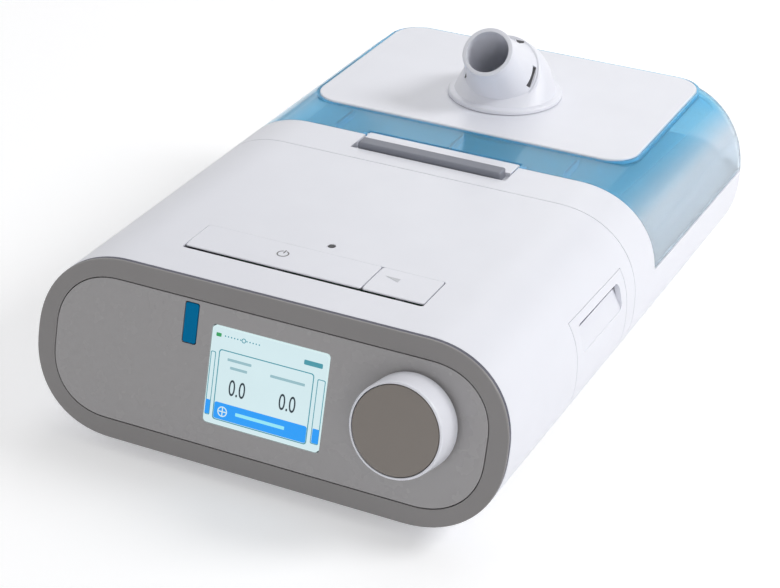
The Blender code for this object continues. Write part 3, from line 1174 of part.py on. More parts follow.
def make_tank():
    """Clear tub with a rim, its seal, and its lid with the round mouth."""
    outer = []
    inner = []
    for share in TANK_LEVEL_SHARES:
        z = TANK_LOW_Z + (TANK_TOP_Z - TANK_LOW_Z) * share
        outer.append(tank_ring(z, 0.0))
        floor = TANK_LOW_Z + TANK_WALL
        inner.append(tank_ring(floor + (TANK_TOP_Z - floor) * share, TANK_WALL))
    tub = skin("tank_body", outer, CLEAR_TUB)
    brim = [Vector((point.x, point.y, TANK_TOP_Z + CUT_OVERRUN)) for point in inner[-1]]
    cut(tub, skin("tub_hollow", inner + [brim]))
    cut(tub, rod("tub_air_hole", TANK_INLET_RADIUS, -CUT_OVERRUN, TANK_WALL + CUT_OVERRUN,
                 frame=facing_y(DUCT_X, TANK_FRONT_Y, DUCT_Z)))

    low = TANK_TOP_Z + GAP
    step = TANK_LID_LOW_Z + TANK_LID_SKIRT
    rings = [tank_ring(low, 0.0, step), tank_ring(low + SEAL_HEIGHT, 0.0, step),
             tank_ring(low + SEAL_HEIGHT, TANK_RIM_WIDTH, step), tank_ring(low, TANK_RIM_WIDTH, step)]
    skin("tank_seal", rings, SEAL_WHITE, loop=True)

    lid = skin("tank_lid", [tank_ring(TANK_LID_LOW_Z, 0.0, step), tank_ring(step, 0.0, step),
                            tank_ring(TANK_LID_HIGH_Z, TANK_LID_STEP_IN, step)], CLEAR_TUB)
    under = [tank_ring(TANK_LID_LOW_Z - CUT_OVERRUN, TANK_RIM_WIDTH, step),
             tank_ring(step - TANK_WALL / 2, TANK_RIM_WIDTH, step),
             tank_ring(TANK_LID_HIGH_Z - TANK_WALL, TANK_LID_STEP_IN + TANK_WALL, step)]
    cut(lid, skin("tank_lid_hollow", under))
    place = Matrix.Translation((0, ELBOW_Y, 0))
    fuse(lid, rod("tank_mouth_lip", TANK_MOUTH_RADIUS + TANK_MOUTH_LIP, TANK_LID_HIGH_Z - GAP,
                  TANK_LID_HIGH_Z + TANK_MOUTH_LIP_HEIGHT, frame=place))
    cut(lid, rod("tank_mouth", TANK_MOUTH_RADIUS, TANK_LID_LOW_Z, TANK_LID_HIGH_Z + CUT_OVERRUN, frame=place))


def seal_low():
    """Foot of the dry box's seal in the elbow's frame, where it just clears the level mouth all round."""
    rise = elbow_frame().translation.z - TANK_LID_HIGH_Z - TANK_MOUTH_LIP_HEIGHT
    lean = (ELBOW_THROAT_RADIUS + DRY_TUBE_WALL) * math.sin(SLOPE)
    return (lean + GAP - rise) / math.cos(SLOPE)


def plate_outline(grow):
    """Plan of the lid plate, grown outward, counted from its own front edge."""
    return rounded_outline(PLATE_HALF_WIDTH + grow, -grow, PLATE_REAR_Y - PLATE_FRONT_Y + grow,
                           PLATE_CORNER + grow, PLATE_CORNER + grow, steps=PLATE_CORNER_STEPS)


def make_lid():
    """Blue shell over the tank, with a raised stage for the white plate, hinge knuckle and latch ears."""
    shell = skin("lid_shell", rear_rings(LID_START_Y), CLEAR_BLUE)
    frame = top_frame(0, PLATE_FRONT_Y)
    fuse(shell, prism("shell_stage", plate_outline(STAGE_BORDER), -STAGE_DEPTH, STAGE_RISE, frame=frame))
    cut(shell, skin("shell_hollow", rear_rings(LID_START_Y - CUT_OVERRUN, LID_WALL)))
    far = HALF_WIDTH + CUT_OVERRUN
    cut(shell, box("shell_below", (-far, far), (0, BODY_LENGTH + CUT_OVERRUN), (0, TRAY_RIM_Z + GAP)))
    recess = PLATE_THICKNESS - PLATE_PROUD + GAP
    cut(shell, prism("shell_plate_recess", plate_outline(GAP), -recess, CUT_OVERRUN, frame=frame))
    axis = elbow_frame()
    cut(shell, rod("shell_elbow_hole", ELBOW_SPIGOT_RADIUS + ELBOW_HOLE_GAP,
                   -PLATE_PROUD - LID_WALL - CUT_OVERRUN,
                   CUT_OVERRUN, frame=axis))
    make_shell_ribs(shell)
    make_latch_seat(shell)
    for k, side in enumerate((-1, 1)):
        near = HINGE_HALF_WIDTH
        span = sorted((side * near, side * (near + HINGE_EAR_WIDTH + GAP + GAP)))
        cut(shell, rod("shell_ear_notch_%d" % k, HINGE_RADIUS + HINGE_NOTCH_GAP, *span,
                       frame=facing_x(0, BODY_LENGTH, TRAY_RIM_Z)))
    fuse(shell, rod("shell_knuckle", HINGE_RADIUS, -HINGE_HALF_WIDTH, HINGE_HALF_WIDTH,
                    frame=facing_x(0, BODY_LENGTH, TRAY_RIM_Z)))
    reach = HINGE_HALF_WIDTH + CUT_OVERRUN
    cut(shell, rod("shell_hinge_bore", HINGE_BORE_RADIUS, -reach, reach, steps=SMALL_STEPS,
                   frame=facing_x(0, BODY_LENGTH, TRAY_RIM_Z)))

    plate = prism("lid_plate", plate_outline(0.0), PLATE_PROUD - PLATE_THICKNESS, PLATE_PROUD, WHITE_SHELL,
                  frame)
    soften(plate, PLATE_ROUND)
    cut(plate, rod("plate_elbow_hole", ELBOW_SPIGOT_RADIUS + ELBOW_HOLE_GAP, -LID_WALL - CUT_OVERRUN,
                   CUT_OVERRUN,
                   frame=axis))

    top = -PLATE_PROUD - LID_WALL - GAP
    floor = -ELBOW_SPIGOT_DEPTH - GAP
    pocket = ELBOW_SPIGOT_RADIUS + DRY_POCKET_GAP
    seal_top = seal_low() + DRY_SEAL_HEIGHT
    profile = [(DRY_FLANGE_RADIUS, floor - DRY_FLOOR), (DRY_FLANGE_RADIUS, top), (pocket, top), (pocket,
                                                                                                 floor),
               (ELBOW_THROAT_RADIUS, floor), (ELBOW_THROAT_RADIUS, seal_top + GAP),
               (ELBOW_THROAT_RADIUS + DRY_TUBE_WALL, seal_top + GAP),
               (ELBOW_THROAT_RADIUS + DRY_TUBE_WALL, floor - DRY_FLOOR)]
    turned("dry_box", profile, CLEAR_TUB, axis)
    tube("dry_box_seal", ELBOW_THROAT_RADIUS + DRY_TUBE_WALL, ELBOW_THROAT_RADIUS, seal_low(), seal_top,
         SEAL_WHITE, axis)


def make_shell_ribs(shell):
    """Short stiffening ribs under the shell's front strip."""
    for k in range(RIB_COUNT):
        x = RIB_PITCH * (k - RIB_COUNT // 2)
        fuse(shell, box("shell_rib_%d" % k, (x - RIB_WIDTH / 2, x + RIB_WIDTH / 2),
                        (LATCH_PIVOT_Y - LID_START_Y + LATCH_EAR_LENGTH, PLATE_FRONT_Y - LID_START_Y),
                        (-LID_WALL - RIB_DROP, -LID_WALL / 2), frame=top_frame(0, LID_START_Y)))


def make_latch_seat(shell):
    """Notch in the shell's front edge, with an ear on each side that carries the latch."""
    frame = top_frame(0, LID_START_Y)
    wide = POCKET_HALF_WIDTH
    pivot = LATCH_PIVOT_Y - LID_START_Y
    for k, side in enumerate((-1, 1)):
        span = sorted((side * wide, side * (wide + LATCH_EAR_WIDTH)))
        fuse(shell, box("shell_latch_ear_%d" % k, span, (0, pivot + LATCH_EAR_LENGTH),
                        (-LATCH_EAR_DEPTH, -LID_WALL / 2), frame=frame))
    cut(shell, box("shell_latch_notch", (-wide, wide), (-CUT_OVERRUN,
                                                        pivot + LATCH_PIVOT_DEPTH + LATCH_NOTCH_GAP),
                   (-LATCH_EAR_DEPTH - CUT_OVERRUN, CUT_OVERRUN), frame=frame))
    reach = wide + LATCH_PIN_REACH
    cut(shell, rod("shell_latch_bore", LATCH_PIN_RADIUS + GAP, -reach, reach, steps=SMALL_STEPS,
                   frame=frame @ facing_x(0, pivot, -LATCH_PIVOT_DEPTH)))


def make_latch():
    """White lever that hinges on the lid, with the grey grip on its front."""
    frame = top_frame(0, LID_START_Y)
    upright = frame @ Matrix.Rotation(math.pi / 2, 4, "Y") @ Matrix.Rotation(math.pi / 2, 4, "Z")
    pivot = LATCH_PIVOT_Y - LID_START_Y
    front, seat = LATCH_FRONT_Y - LID_START_Y, LATCH_SEAT_Y - LID_START_Y
    hook = LATCH_HOOK_FRONT_Y - LID_START_Y
    outline = [(front, -LATCH_PLATE_DEPTH), (hook, -LATCH_PLATE_DEPTH), (hook, -LATCH_HOOK_DEPTH),
               (hook + LATCH_HOOK_WIDTH, -LATCH_HOOK_DEPTH), (hook + LATCH_HOOK_WIDTH, -LATCH_PLATE_DEPTH),
               (pivot - LATCH_PIVOT_DEPTH - LATCH_PIVOT_DEPTH, -LATCH_PLATE_DEPTH)]
    for k in range(LATCH_ROUND_STEPS + 1):
        angle = math.pi * k / LATCH_ROUND_STEPS - math.pi / 2
        outline.append((pivot + LATCH_PIVOT_DEPTH * math.cos(angle),
                        -LATCH_PIVOT_DEPTH + LATCH_PIVOT_DEPTH * math.sin(angle)))
    outline += [(seat + GAP, 0.0), (seat + GAP, -LATCH_SEAT_DEPTH), (front, -LATCH_SEAT_DEPTH)]
    lever = prism("latch_lever", outline, -LATCH_HALF_WIDTH, LATCH_HALF_WIDTH, WHITE_SHELL, upright)
    reach = POCKET_HALF_WIDTH + LATCH_PIN_REACH - GAP
    fuse(lever, rod("lever_pin", LATCH_PIN_RADIUS, -reach, reach, steps=SMALL_STEPS,
                    frame=frame @ facing_x(0, pivot, -LATCH_PIVOT_DEPTH)))

    low = -LATCH_SEAT_DEPTH + GAP
    grip = box("latch_grip", (-GRIP_HALF_WIDTH, GRIP_HALF_WIDTH), (front, seat), (low, low + GRIP_HEIGHT),
               LATCH_GREY, frame)
    soften(grip, GRIP_ROUND)
    pitch = 2 * GRIP_HALF_WIDTH / GRIP_TOOTH_COUNT
    for k in range(GRIP_TOOTH_COUNT - 1):
        middle = -GRIP_HALF_WIDTH + pitch * (k + 1)
        cut(grip, box("grip_gap_%d" % k, (middle - GRIP_TOOTH_GAP / 2, middle + GRIP_TOOTH_GAP / 2),
                      (front - CUT_OVERRUN, front + GRIP_TOOTH_DEPTH), (low - CUT_OVERRUN,
                                                                        low + GRIP_TOOTH_HEIGHT),
                      frame=frame))


def flank_rings():
    """Rings that blend the elbow's round foot into its tilted collar."""
    frame = elbow_frame()
    turn = math.pi / 2 - math.radians(PORT_ELEVATION_DEG)
    foot = Vector((0, 0, ELBOW_BASE_HEIGHT - GAP))
    neck = Vector((0, COLLAR_BACK, COLLAR_UP)) - COLLAR_THICKNESS * Vector((0, -math.sin(turn),
                                                                            math.cos(turn)))
    knee = Vector((0, 0, neck.z))
    rings = []
    for k in range(FLANK_RINGS + 1):
        share = k / FLANK_RINGS
        middle = foot * (1 - share) ** 2 + knee * 2 * share * (1 - share) + neck * share ** 2
        radius = ELBOW_FLANK_RADIUS + (COLLAR_RADIUS - COLLAR_GROOVE - ELBOW_FLANK_RADIUS) * share
        lean = Matrix.Translation(middle) @ Matrix.Rotation(turn * share, 4, "X")
        ring = []
        for step in range(ROUND_STEPS):
            angle = math.tau * step / ROUND_STEPS
            ring.append(frame @ lean @ Vector((radius * math.cos(angle), radius * math.sin(angle), 0)))
        rings.append(ring)
    return rings


def port_profile():
    """Half section of the collar and the flared port, from the collar's back to the rim."""
    lip = COLLAR_RADIUS - COLLAR_LIP
    profile = [(0.0, -COLLAR_THICKNESS - COLLAR_GROOVE_WIDTH), (COLLAR_RADIUS - COLLAR_GROOVE,
                                                                -COLLAR_THICKNESS
               - COLLAR_GROOVE_WIDTH), (COLLAR_RADIUS - COLLAR_GROOVE, -COLLAR_THICKNESS),
               (COLLAR_RADIUS, -COLLAR_THICKNESS), (COLLAR_RADIUS, 0.0)]
    for k in range(PORT_FLARE_STEPS + 1):
        angle = math.pi / 2 * k / PORT_FLARE_STEPS
        radius = PORT_RADIUS + (lip - PORT_RADIUS) * (1 - math.sin(angle))
        profile.append((radius, PORT_FLARE_LENGTH * (1 - math.cos(angle))))
    profile += [(PORT_RADIUS, PORT_REACH - PORT_RIM_ROUND), (PORT_RADIUS - PORT_RIM_ROUND, PORT_REACH),
                (0.0, PORT_REACH)]
    return profile


def make_elbow():
    """Swivel elbow: round foot, leaning flank, slotted collar and a bored port for a 22 mm hose."""
    frame, port = elbow_frame(), port_frame()
    foot = round_profile(ELBOW_BASE_RADIUS, GAP, GAP + ELBOW_BASE_HEIGHT, ELBOW_BASE_ROUND)
    elbow = turned("elbow", foot, WHITE_SHELL, frame, ROUND_STEPS)
    fuse(elbow, skin("elbow_flank", flank_rings()), turned("elbow_port", port_profile(), frame=port))
    under = ELBOW_BASE_RADIUS + CUT_OVERRUN
    cut(elbow, box("elbow_underside", (-under, under), (-under, under), (-under, GAP), frame=frame))
    fuse(elbow, rod("elbow_spigot", ELBOW_SPIGOT_RADIUS, -ELBOW_SPIGOT_DEPTH, GAP + ELBOW_BASE_HEIGHT / 2,
                    frame=frame))
    cut(elbow, rod("elbow_throat", ELBOW_THROAT_RADIUS, -ELBOW_SPIGOT_DEPTH - CUT_OVERRUN, ELBOW_THROAT_RISE,
                   frame=frame),
        rod("elbow_bore", PORT_BORE_RADIUS, -PORT_BORE_BACK, PORT_REACH + CUT_OVERRUN, frame=port))
    edge = COLLAR_RADIUS + CUT_OVERRUN
    half = COLLAR_THICKNESS / 2
    cut(elbow, box("elbow_window", (-WINDOW_HALF_WIDTH, WINDOW_HALF_WIDTH), (WINDOW_FLOOR, edge),
                   (-half, WINDOW_LENGTH - half), frame=port),
        box("elbow_side_slot", (SLOT_SIDE_FLOOR, edge), (-SLOT_SIDE_HALF_HEIGHT, SLOT_SIDE_HALF_HEIGHT),
            (-half, SLOT_SIDE_LENGTH - half), frame=port),
        box("elbow_nick", (-edge, -SLOT_SIDE_FLOOR), (NICK_UP - NICK_SIZE / 2, NICK_UP + NICK_SIZE / 2),
            (-half, NICK_SIZE - half), frame=port))
    box("elbow_contact", (-CONTACT_HALF_WIDTH, CONTACT_HALF_WIDTH), (WINDOW_FLOOR + GAP, WINDOW_FLOOR + GAP
        + CONTACT_HEIGHT), (GAP - half, GAP - half + CONTACT_LENGTH), WHITE_SHELL, port)


def add_pivot(name, frame, pieces):
    """Empty on a joint's axis that carries the pieces that move about it."""
    pivot = bpy.data.objects.new(name, None)
    pivot.matrix_world = frame
    bpy.context.scene.collection.objects.link(pivot)
    for piece in pieces:
        item = bpy.data.objects[piece]
        item.parent = pivot
        item.matrix_parent_inverse = frame.inverted()
    return pivot


def add_pivots():
    """One empty for each joint, at its place, with the pieces that it moves."""
    hinge = Matrix.Translation((0, BODY_LENGTH, TRAY_RIM_Z))
    latch = top_frame(0, LID_START_Y) @ Matrix.Translation((0, LATCH_PIVOT_Y - LID_START_Y,
                                                            -LATCH_PIVOT_DEPTH))
    door = Matrix.Translation((door_edge_x(), (DOOR_FRONT_Y + DOOR_REAR_Y) / 2, DOOR_HIGH_Z))
    rear_flap = top_frame(0, FLAPS_REAR_Y)
    add_pivot("lid_pivot", hinge, ("lid_shell", "lid_plate", "dry_box", "dry_box_seal"))
    add_pivot("latch_pivot", latch, ("latch_lever", "latch_grip"))
    add_pivot("elbow_pivot", elbow_frame(), ("elbow", "elbow_contact"))
    add_pivot("dial_pivot", dial_frame(), ("dial_knob", "dial_cap", "dial_shaft", "dial_plunger"))
    add_pivot("therapy_pivot", rear_flap, ("therapy_button",))
    add_pivot("ramp_pivot", rear_flap, ("ramp_button",))
    add_pivot("door_pivot", door, ("filter_door",))
    add_pivot("impeller_pivot", Matrix.Translation((BLOWER_X, BLOWER_Y, IMPELLER_LOW_Z)),
              ("impeller", "impeller_axle"))


def door_edge_x():
    """X of the body's outer face at the filter door's upper edge."""
    y = (DOOR_FRONT_Y + DOOR_REAR_Y) / 2
    height = top_z(y) - BODY_LOW
    corner = CORNER_HEIGHT * height / BODY_FRONT_HEIGHT
    beyond = max(DOOR_HIGH_Z - (top_z(y) - corner), 0.0) / corner
    return HALF_WIDTH - CORNER_WIDTH + CORNER_WIDTH * (1 - beyond ** CORNER_POWER) ** (1 / CORNER_POWER)


def middle_y():
    """Y half way between the dial's most forward point and the hinge's rear."""
    nose = dial_frame() @ Vector((0, -cap_edge_radius(), cap_edge_rise()))
    return (nose.y + BODY_LENGTH + HINGE_RADIUS) / 2


def cap_edge_radius():
    """Radius of the dial cap's flat rim, which reaches furthest forward."""
    return DIAL_TOP_RADIUS - DIAL_RIM_WIDTH - GAP - DIAL_ROUND / 2


def cap_edge_rise():
    """How far the dial cap's rim stands out of the panel."""
    return DIAL_PROUD - DIAL_CAP_DOME


def move_to_origin():
    """Put the origin under the middle of the machine."""
    shift = middle_y()
    for item in bpy.context.scene.objects:
        if item.parent is None:
            item.location.y -= shift


def main():
    """Build every piece."""
    for item in list(bpy.data.objects):
        bpy.data.objects.remove(item)
    make_top_cover()
    make_bottom_case()
    make_front()
    make_dial()
    make_keys()
    make_filter_door()
    make_filter_bay()
    make_blower()
    make_ducts()
    make_screws()
    make_feet()
    make_humidifier_base()
    make_base_fittings()
    make_tank()
    make_lid()
    make_latch()
    make_elbow()
    add_pivots()
    move_to_origin()


main()
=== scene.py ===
"""Looks for a bedside CPAP machine: finishes, fine surfaces, display, stage, lights and camera.

Lengths are metres. A fine piece is modelled with Y counted from the front panel's lower edge, as a drawing
of the machine would have it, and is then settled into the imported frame, whose origin is under the middle.
"""

import json
import logging
import math
from contextlib import contextmanager
from dataclasses import dataclass, field
from enum import Enum
from typing import Callable, Iterator, Sequence

import bmesh
import bpy
from mathutils import Matrix, Vector

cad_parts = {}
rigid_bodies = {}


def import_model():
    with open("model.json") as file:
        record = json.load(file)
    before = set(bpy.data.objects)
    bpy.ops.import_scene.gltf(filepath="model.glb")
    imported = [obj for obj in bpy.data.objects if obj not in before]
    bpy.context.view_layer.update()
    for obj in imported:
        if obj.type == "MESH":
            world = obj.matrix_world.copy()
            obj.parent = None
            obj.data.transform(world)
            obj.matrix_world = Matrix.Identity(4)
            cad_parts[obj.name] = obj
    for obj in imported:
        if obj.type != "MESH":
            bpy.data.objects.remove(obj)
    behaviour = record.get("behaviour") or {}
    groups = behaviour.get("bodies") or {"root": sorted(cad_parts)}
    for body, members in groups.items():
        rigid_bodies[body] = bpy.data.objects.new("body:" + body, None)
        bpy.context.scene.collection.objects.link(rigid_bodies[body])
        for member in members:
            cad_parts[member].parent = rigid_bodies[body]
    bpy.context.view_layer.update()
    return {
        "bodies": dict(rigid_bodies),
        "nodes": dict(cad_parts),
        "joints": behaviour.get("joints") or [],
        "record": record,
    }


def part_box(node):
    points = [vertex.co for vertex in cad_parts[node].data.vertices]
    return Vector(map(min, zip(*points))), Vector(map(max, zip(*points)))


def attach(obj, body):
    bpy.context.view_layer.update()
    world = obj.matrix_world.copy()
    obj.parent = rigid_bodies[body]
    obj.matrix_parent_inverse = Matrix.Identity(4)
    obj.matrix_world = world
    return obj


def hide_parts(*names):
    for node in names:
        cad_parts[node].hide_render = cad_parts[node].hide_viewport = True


LOG = logging.getLogger("machine")
Colour = tuple[float, float, float]
Triple = tuple[float, float, float]
Point = tuple[float, float]
Item = bpy.types.Object
Socket = bpy.types.NodeSocket
HERE = Matrix.Identity(4)
QUARTER = math.pi / 2
ACROSS = Matrix.Rotation(QUARTER, 4, "Y")
BACKWARD = Matrix.Rotation(-QUARTER, 4, "X")
SMOOTH_ANGLE = math.radians(32)
MERGE_DISTANCE = 0.000002
NOISE_MIDDLE = (0.3, 0.7)
# How far a cutter reaches past what it cuts, then measures that are more than the machine's own
OVER = 0.004
WIDE = 0.1
LONG = 0.3
TALL = 0.09


class Union(Enum):
    """How one solid meets another."""

    ADD = "UNION"
    TAKE = "DIFFERENCE"
    SHARE = "INTERSECT"


class Side(Enum):
    """Which side of a cutting plane is thrown away."""

    AHEAD = "ahead"
    BEHIND = "behind"


def fill(node: bpy.types.Node, values: dict[str, float | tuple[float, ...]]) -> bpy.types.Node:
    """Set a node's constant inputs, which are named here with underscores for spaces."""
    for name, value in values.items():
        node.inputs[name.replace("_", " ")].default_value = value
    return node


class Graph:
    """A material's node tree, with short ways to add the nodes that the finishes share."""

    def __init__(self, name: str) -> None:
        """Start a material that holds one Principled shader."""
        self.material = bpy.data.materials.new(name)
        self.material.use_nodes = True
        self.tree = self.material.node_tree
        self.shader = self.tree.nodes["Principled BSDF"]
        self.place = self.add("ShaderNodeTexCoord").outputs["Object"]

    def add(self, kind: str, **values: float | tuple[float, ...]) -> bpy.types.Node:
        """Add a node with its constant inputs."""
        return fill(self.tree.nodes.new(kind), values)

    def fix(self, **values: float | tuple[float, ...]) -> None:
        """Set the shader's own sockets."""
        fill(self.shader, values)

    def link(self, source: Socket, target: Socket) -> None:
        """Join two sockets."""
        self.tree.links.new(source, target)

    def feed(self, socket: str, source: Socket) -> None:
        """Lead a value to one of the shader's own sockets."""
        self.link(source, self.shader.inputs[socket])

    def noise(self, scale: float, detail: float = 2.0) -> Socket:
        """Even noise over the piece.

        Args:
            scale: Features in one metre.
            detail: Octaves of finer noise.

        Returns:
            The noise's value socket.
        """
        node = self.add("ShaderNodeTexNoise", Scale=scale, Detail=detail)
        self.link(self.place, node.inputs["Vector"])
        return node.outputs["Fac"]

    def spread(self, source: Socket, low: float, high: float,
               ends: Point = NOISE_MIDDLE) -> Socket:
        """Stretch part of a value's range over another range.

        Args:
            source: The value.
            low: The result at the part's lower end.
            high: The result at its upper end.
            ends: The part's two ends.

        Returns:
            The stretched value's socket.
        """
        node = self.add("ShaderNodeMapRange", From_Min=ends[0], From_Max=ends[1], To_Min=low, To_Max=high)
        self.link(source, node.inputs["Value"])
        return node.outputs["Result"]

    def colours(self, source: Socket, first: Colour, second: Colour) -> Socket:
        """Colour that runs from one to another.

        Args:
            source: A value from nought to one.
            first: The colour at nought.
            second: The colour at one.

        Returns:
            The colour socket.
        """
        node = self.add("ShaderNodeValToRGB")
        for end, colour in zip(node.color_ramp.elements, (first, second)):
            end.color = (*colour, 1.0)
        self.link(source, node.inputs["Fac"])
        return node.outputs["Color"]

    def climb(self, low: float, high: float) -> Socket:
        """How far up the piece a point is.

        Args:
            low: The height that gives nought.
            high: The height that gives one.

        Returns:
            The share's socket.
        """
        split = self.add("ShaderNodeSeparateXYZ")
        self.link(self.place, split.inputs[0])
        return self.spread(split.outputs["Z"], 0.0, 1.0, (low, high))

    def blend(self, share: Socket, first: Socket,
              second: Socket) -> Socket:
        """Mix of two colours.

        Args:
            share: How much of the second colour there is.
            first: The first colour.
            second: The second colour.

        Returns:
            The mixed colour's socket.
        """
        node = self.add("ShaderNodeMix")
        node.data_type = "RGBA"
        self.link(share, node.inputs["Factor"])
        self.link(first, node.inputs[6])
        self.link(second, node.inputs[7])
        return node.outputs[2]

    def relief(self, source: Socket, depth: float) -> None:
        """Raise the surface by a pattern.

        Args:
            source: The pattern's height, from nought to one.
            depth: Real height of the pattern.
        """
        node = self.add("ShaderNodeBump", Distance=depth)
        self.link(source, node.inputs["Height"])
        self.feed("Normal", node.outputs["Normal"])


def shade(colour: Colour, share: float) -> Colour:
    """The colour made darker or lighter by a share."""
    return tuple(channel * share for channel in colour)


@dataclass(frozen=True)
class Moulded:
    """Opaque moulded plastic, with fine tool texture and slightly uneven gloss."""

    name: str
    colour: Colour
    roughness: float = 0.36
    grain: float = 1400.0
    depth: float = 0.000012
    unevenness: float = 0.025
    coat: float = 0.0
    gloss: float = 0.5
    gloss_range: float = 0.04

    def build(self) -> bpy.types.Material:
        """Make the material."""
        graph = Graph(self.name)
        dark, light = (shade(self.colour, 1 + sign * self.unevenness) for sign in (-1, 1))
        graph.feed("Base Color", graph.colours(graph.noise(38.0), dark, light))
        rough, change = self.roughness, self.gloss_range
        graph.feed("Roughness", graph.spread(graph.noise(140.0), rough - change, rough + change))
        graph.relief(graph.noise(self.grain, 3.0), self.depth)
        graph.fix(Coat_Weight=self.coat, Coat_Roughness=0.08, Specular_IOR_Level=self.gloss)
        return graph.material


@dataclass(frozen=True)
class ClearPlastic:
    """Clear tinted plastic, deeper in colour near its top and where it is seen edge on."""

    name: str
    face: Colour
    edge: Colour
    top: Colour
    roughness: float = 0.05
    clearness: float = 0.9
    ior: float = 1.38
    top_from: float = 0.064
    top_to: float = 0.074
    top_edge: Colour = (0.16, 0.58, 0.86)
    edge_share: float = 0.35
    ripple: float = 0.00002

    def build(self) -> bpy.types.Material:
        """Make the material."""
        graph = Graph(self.name)
        facing = graph.add("ShaderNodeLayerWeight", Blend=self.edge_share).outputs["Facing"]
        side = graph.colours(facing, self.face, self.edge)
        top = graph.colours(facing, self.top, self.top_edge)
        graph.feed("Base Color", graph.blend(graph.climb(self.top_from, self.top_to), side, top))
        graph.feed("Roughness", graph.spread(graph.noise(60.0), self.roughness, self.roughness + 0.05))
        graph.relief(graph.noise(90.0, 1.0), self.ripple)
        graph.fix(Transmission_Weight=self.clearness, IOR=self.ior)
        return graph.material


@dataclass(frozen=True)
class Lit:
    """Part of a lit display: an even glow with the faint unevenness of its backlight."""

    name: str
    colour: Colour
    strength: float = 0.9

    def build(self) -> bpy.types.Material:
        """Make the material."""
        graph = Graph(self.name)
        graph.feed("Emission Color", graph.colours(graph.noise(70.0), shade(self.colour, 0.94), self.colour))
        base = (*shade(self.colour, 0.12), 1.0)
        graph.fix(Base_Color=base, Emission_Strength=self.strength, Roughness=0.2)
        return graph.material


@dataclass(frozen=True)
class Metal:
    """Plain metal with a fine brushed unevenness."""

    name: str
    colour: Colour
    roughness: float = 0.32

    def build(self) -> bpy.types.Material:
        """Make the material."""
        graph = Graph(self.name)
        graph.feed("Base Color", graph.colours(graph.noise(260.0), shade(self.colour, 0.92), self.colour))
        gloss = graph.spread(graph.noise(900.0, 4.0), self.roughness - 0.06, self.roughness + 0.1)
        graph.feed("Roughness", gloss)
        graph.relief(graph.noise(2200.0), 0.000008)
        graph.fix(Metallic=1.0)
        return graph.material


@dataclass(frozen=True)
class Porous:
    """Soft matter: rubber, silicone or filter foam, with a coarse open texture."""

    name: str
    colour: Colour
    cells: float = 900.0
    depth: float = 0.00004

    def build(self) -> bpy.types.Material:
        """Make the material."""
        graph = Graph(self.name)
        cells = graph.noise(self.cells, 4.0)
        graph.feed("Base Color", graph.colours(cells, shade(self.colour, 0.7), shade(self.colour, 1.2)))
        graph.relief(cells, self.depth)
        graph.fix(Roughness=0.85)
        return graph.material


@dataclass(frozen=True)
class BoardFinish:
    """Circuit board: green lacquer with lighter tracks in it."""

    name: str
    colour: Colour
    tracks: float = 160.0

    def build(self) -> bpy.types.Material:
        """Make the material."""
        graph = Graph(self.name)
        plain, dark, track = ((*shade(self.colour, share), 1.0) for share in (1.0, 0.8, 2.2))
        brick = graph.add("ShaderNodeTexBrick", Scale=self.tracks, Color1=plain, Color2=dark, Mortar=track)
        graph.link(graph.place, brick.inputs["Vector"])
        graph.feed("Base Color", brick.outputs["Color"])
        graph.relief(brick.outputs["Fac"], 0.00003)
        graph.fix(Roughness=0.35)
        return graph.material


CLEAR_SIDE, CLEAR_EDGE, CLEAR_TOP = (0.95, 0.96, 0.99), (0.47, 0.67, 0.82), (0.29, 0.72, 0.96)
TUB_SIDE, TUB_EDGE = (0.93, 0.97, 0.99), (0.80, 0.91, 0.96)

# The material slots first, then the display's marks, the printed signs, and the painted shade for the front
# seam's gap and for the collar's recesses and groove
FINISHES = (
    Moulded("white_shell", (0.80, 0.81, 0.87)),
    Moulded("warm_grey", (0.25, 0.24, 0.24), 0.34, coat=0.2),
    Moulded("panel_grey", (0.36, 0.35, 0.355), 0.26, depth=0.000001, unevenness=0.008, coat=0.4),
    Moulded("cap_grey", (0.235, 0.21, 0.19), 0.5, grain=2400.0, depth=0.00002),
    Moulded("latch_grey", (0.22, 0.23, 0.27), 0.6, grain=2000.0, depth=0.00002),
    Lit("screen_pale", (0.70, 0.88, 0.90)),
    Moulded("blue_light", (0.0, 0.19, 0.42), 0.45, gloss=0.05),
    ClearPlastic("clear_blue", CLEAR_SIDE, CLEAR_EDGE, CLEAR_TOP, 0.04, 0.72, 1.22),
    ClearPlastic("clear_tub", TUB_SIDE, TUB_EDGE, TUB_SIDE, 0.12, 0.35, 1.3),
    Moulded("dark_plastic", (0.03, 0.03, 0.035), 0.5),
    BoardFinish("board_green", (0.02, 0.16, 0.08)),
    Metal("steel", (0.60, 0.61, 0.62)),
    Metal("aluminium", (0.70, 0.71, 0.72)),
    Porous("soft_grey", (0.20, 0.21, 0.22)),
    Porous("seal_white", (0.70, 0.72, 0.74), 500.0, 0.00002),
    Porous("filter_blue", (0.10, 0.12, 0.50), 700.0, 0.0002),
    Moulded("card_blue", (0.05, 0.12, 0.45), 0.4),
    Lit("ui_pale", (0.66, 0.83, 0.87)),
    Lit("ui_foot_pale", (0.30, 0.80, 0.92)),
    Lit("ui_teal", (0.05, 0.30, 0.38)),
    Lit("ui_teal_soft", (0.30, 0.50, 0.56)),
    Lit("ui_blue", (0.0, 0.31, 0.90), 0.95),
    Lit("ui_green", (0.02, 0.33, 0.10)),
    Lit("ui_ink", (0.005, 0.03, 0.05), 0.6),
    Moulded("print_grey", (0.14, 0.14, 0.15), 0.5),
    # Near black for the sheet in the front seam's gap: painted shade
    Moulded("seam_dark", (0.09, 0.09, 0.12), 0.6),
    # Dark grey for the sheets in the collar's recesses and the ring in its groove: painted shade
    Moulded("slot_grey", (0.12, 0.12, 0.125), 0.6),
    Moulded("print_pale", (0.58, 0.59, 0.63), 0.5),
)


def choose(item: Item) -> None:
    """Make this object the only selected one, and the active one."""
    bpy.ops.object.select_all(action="DESELECT")
    item.select_set(True)
    bpy.context.view_layer.objects.active = item


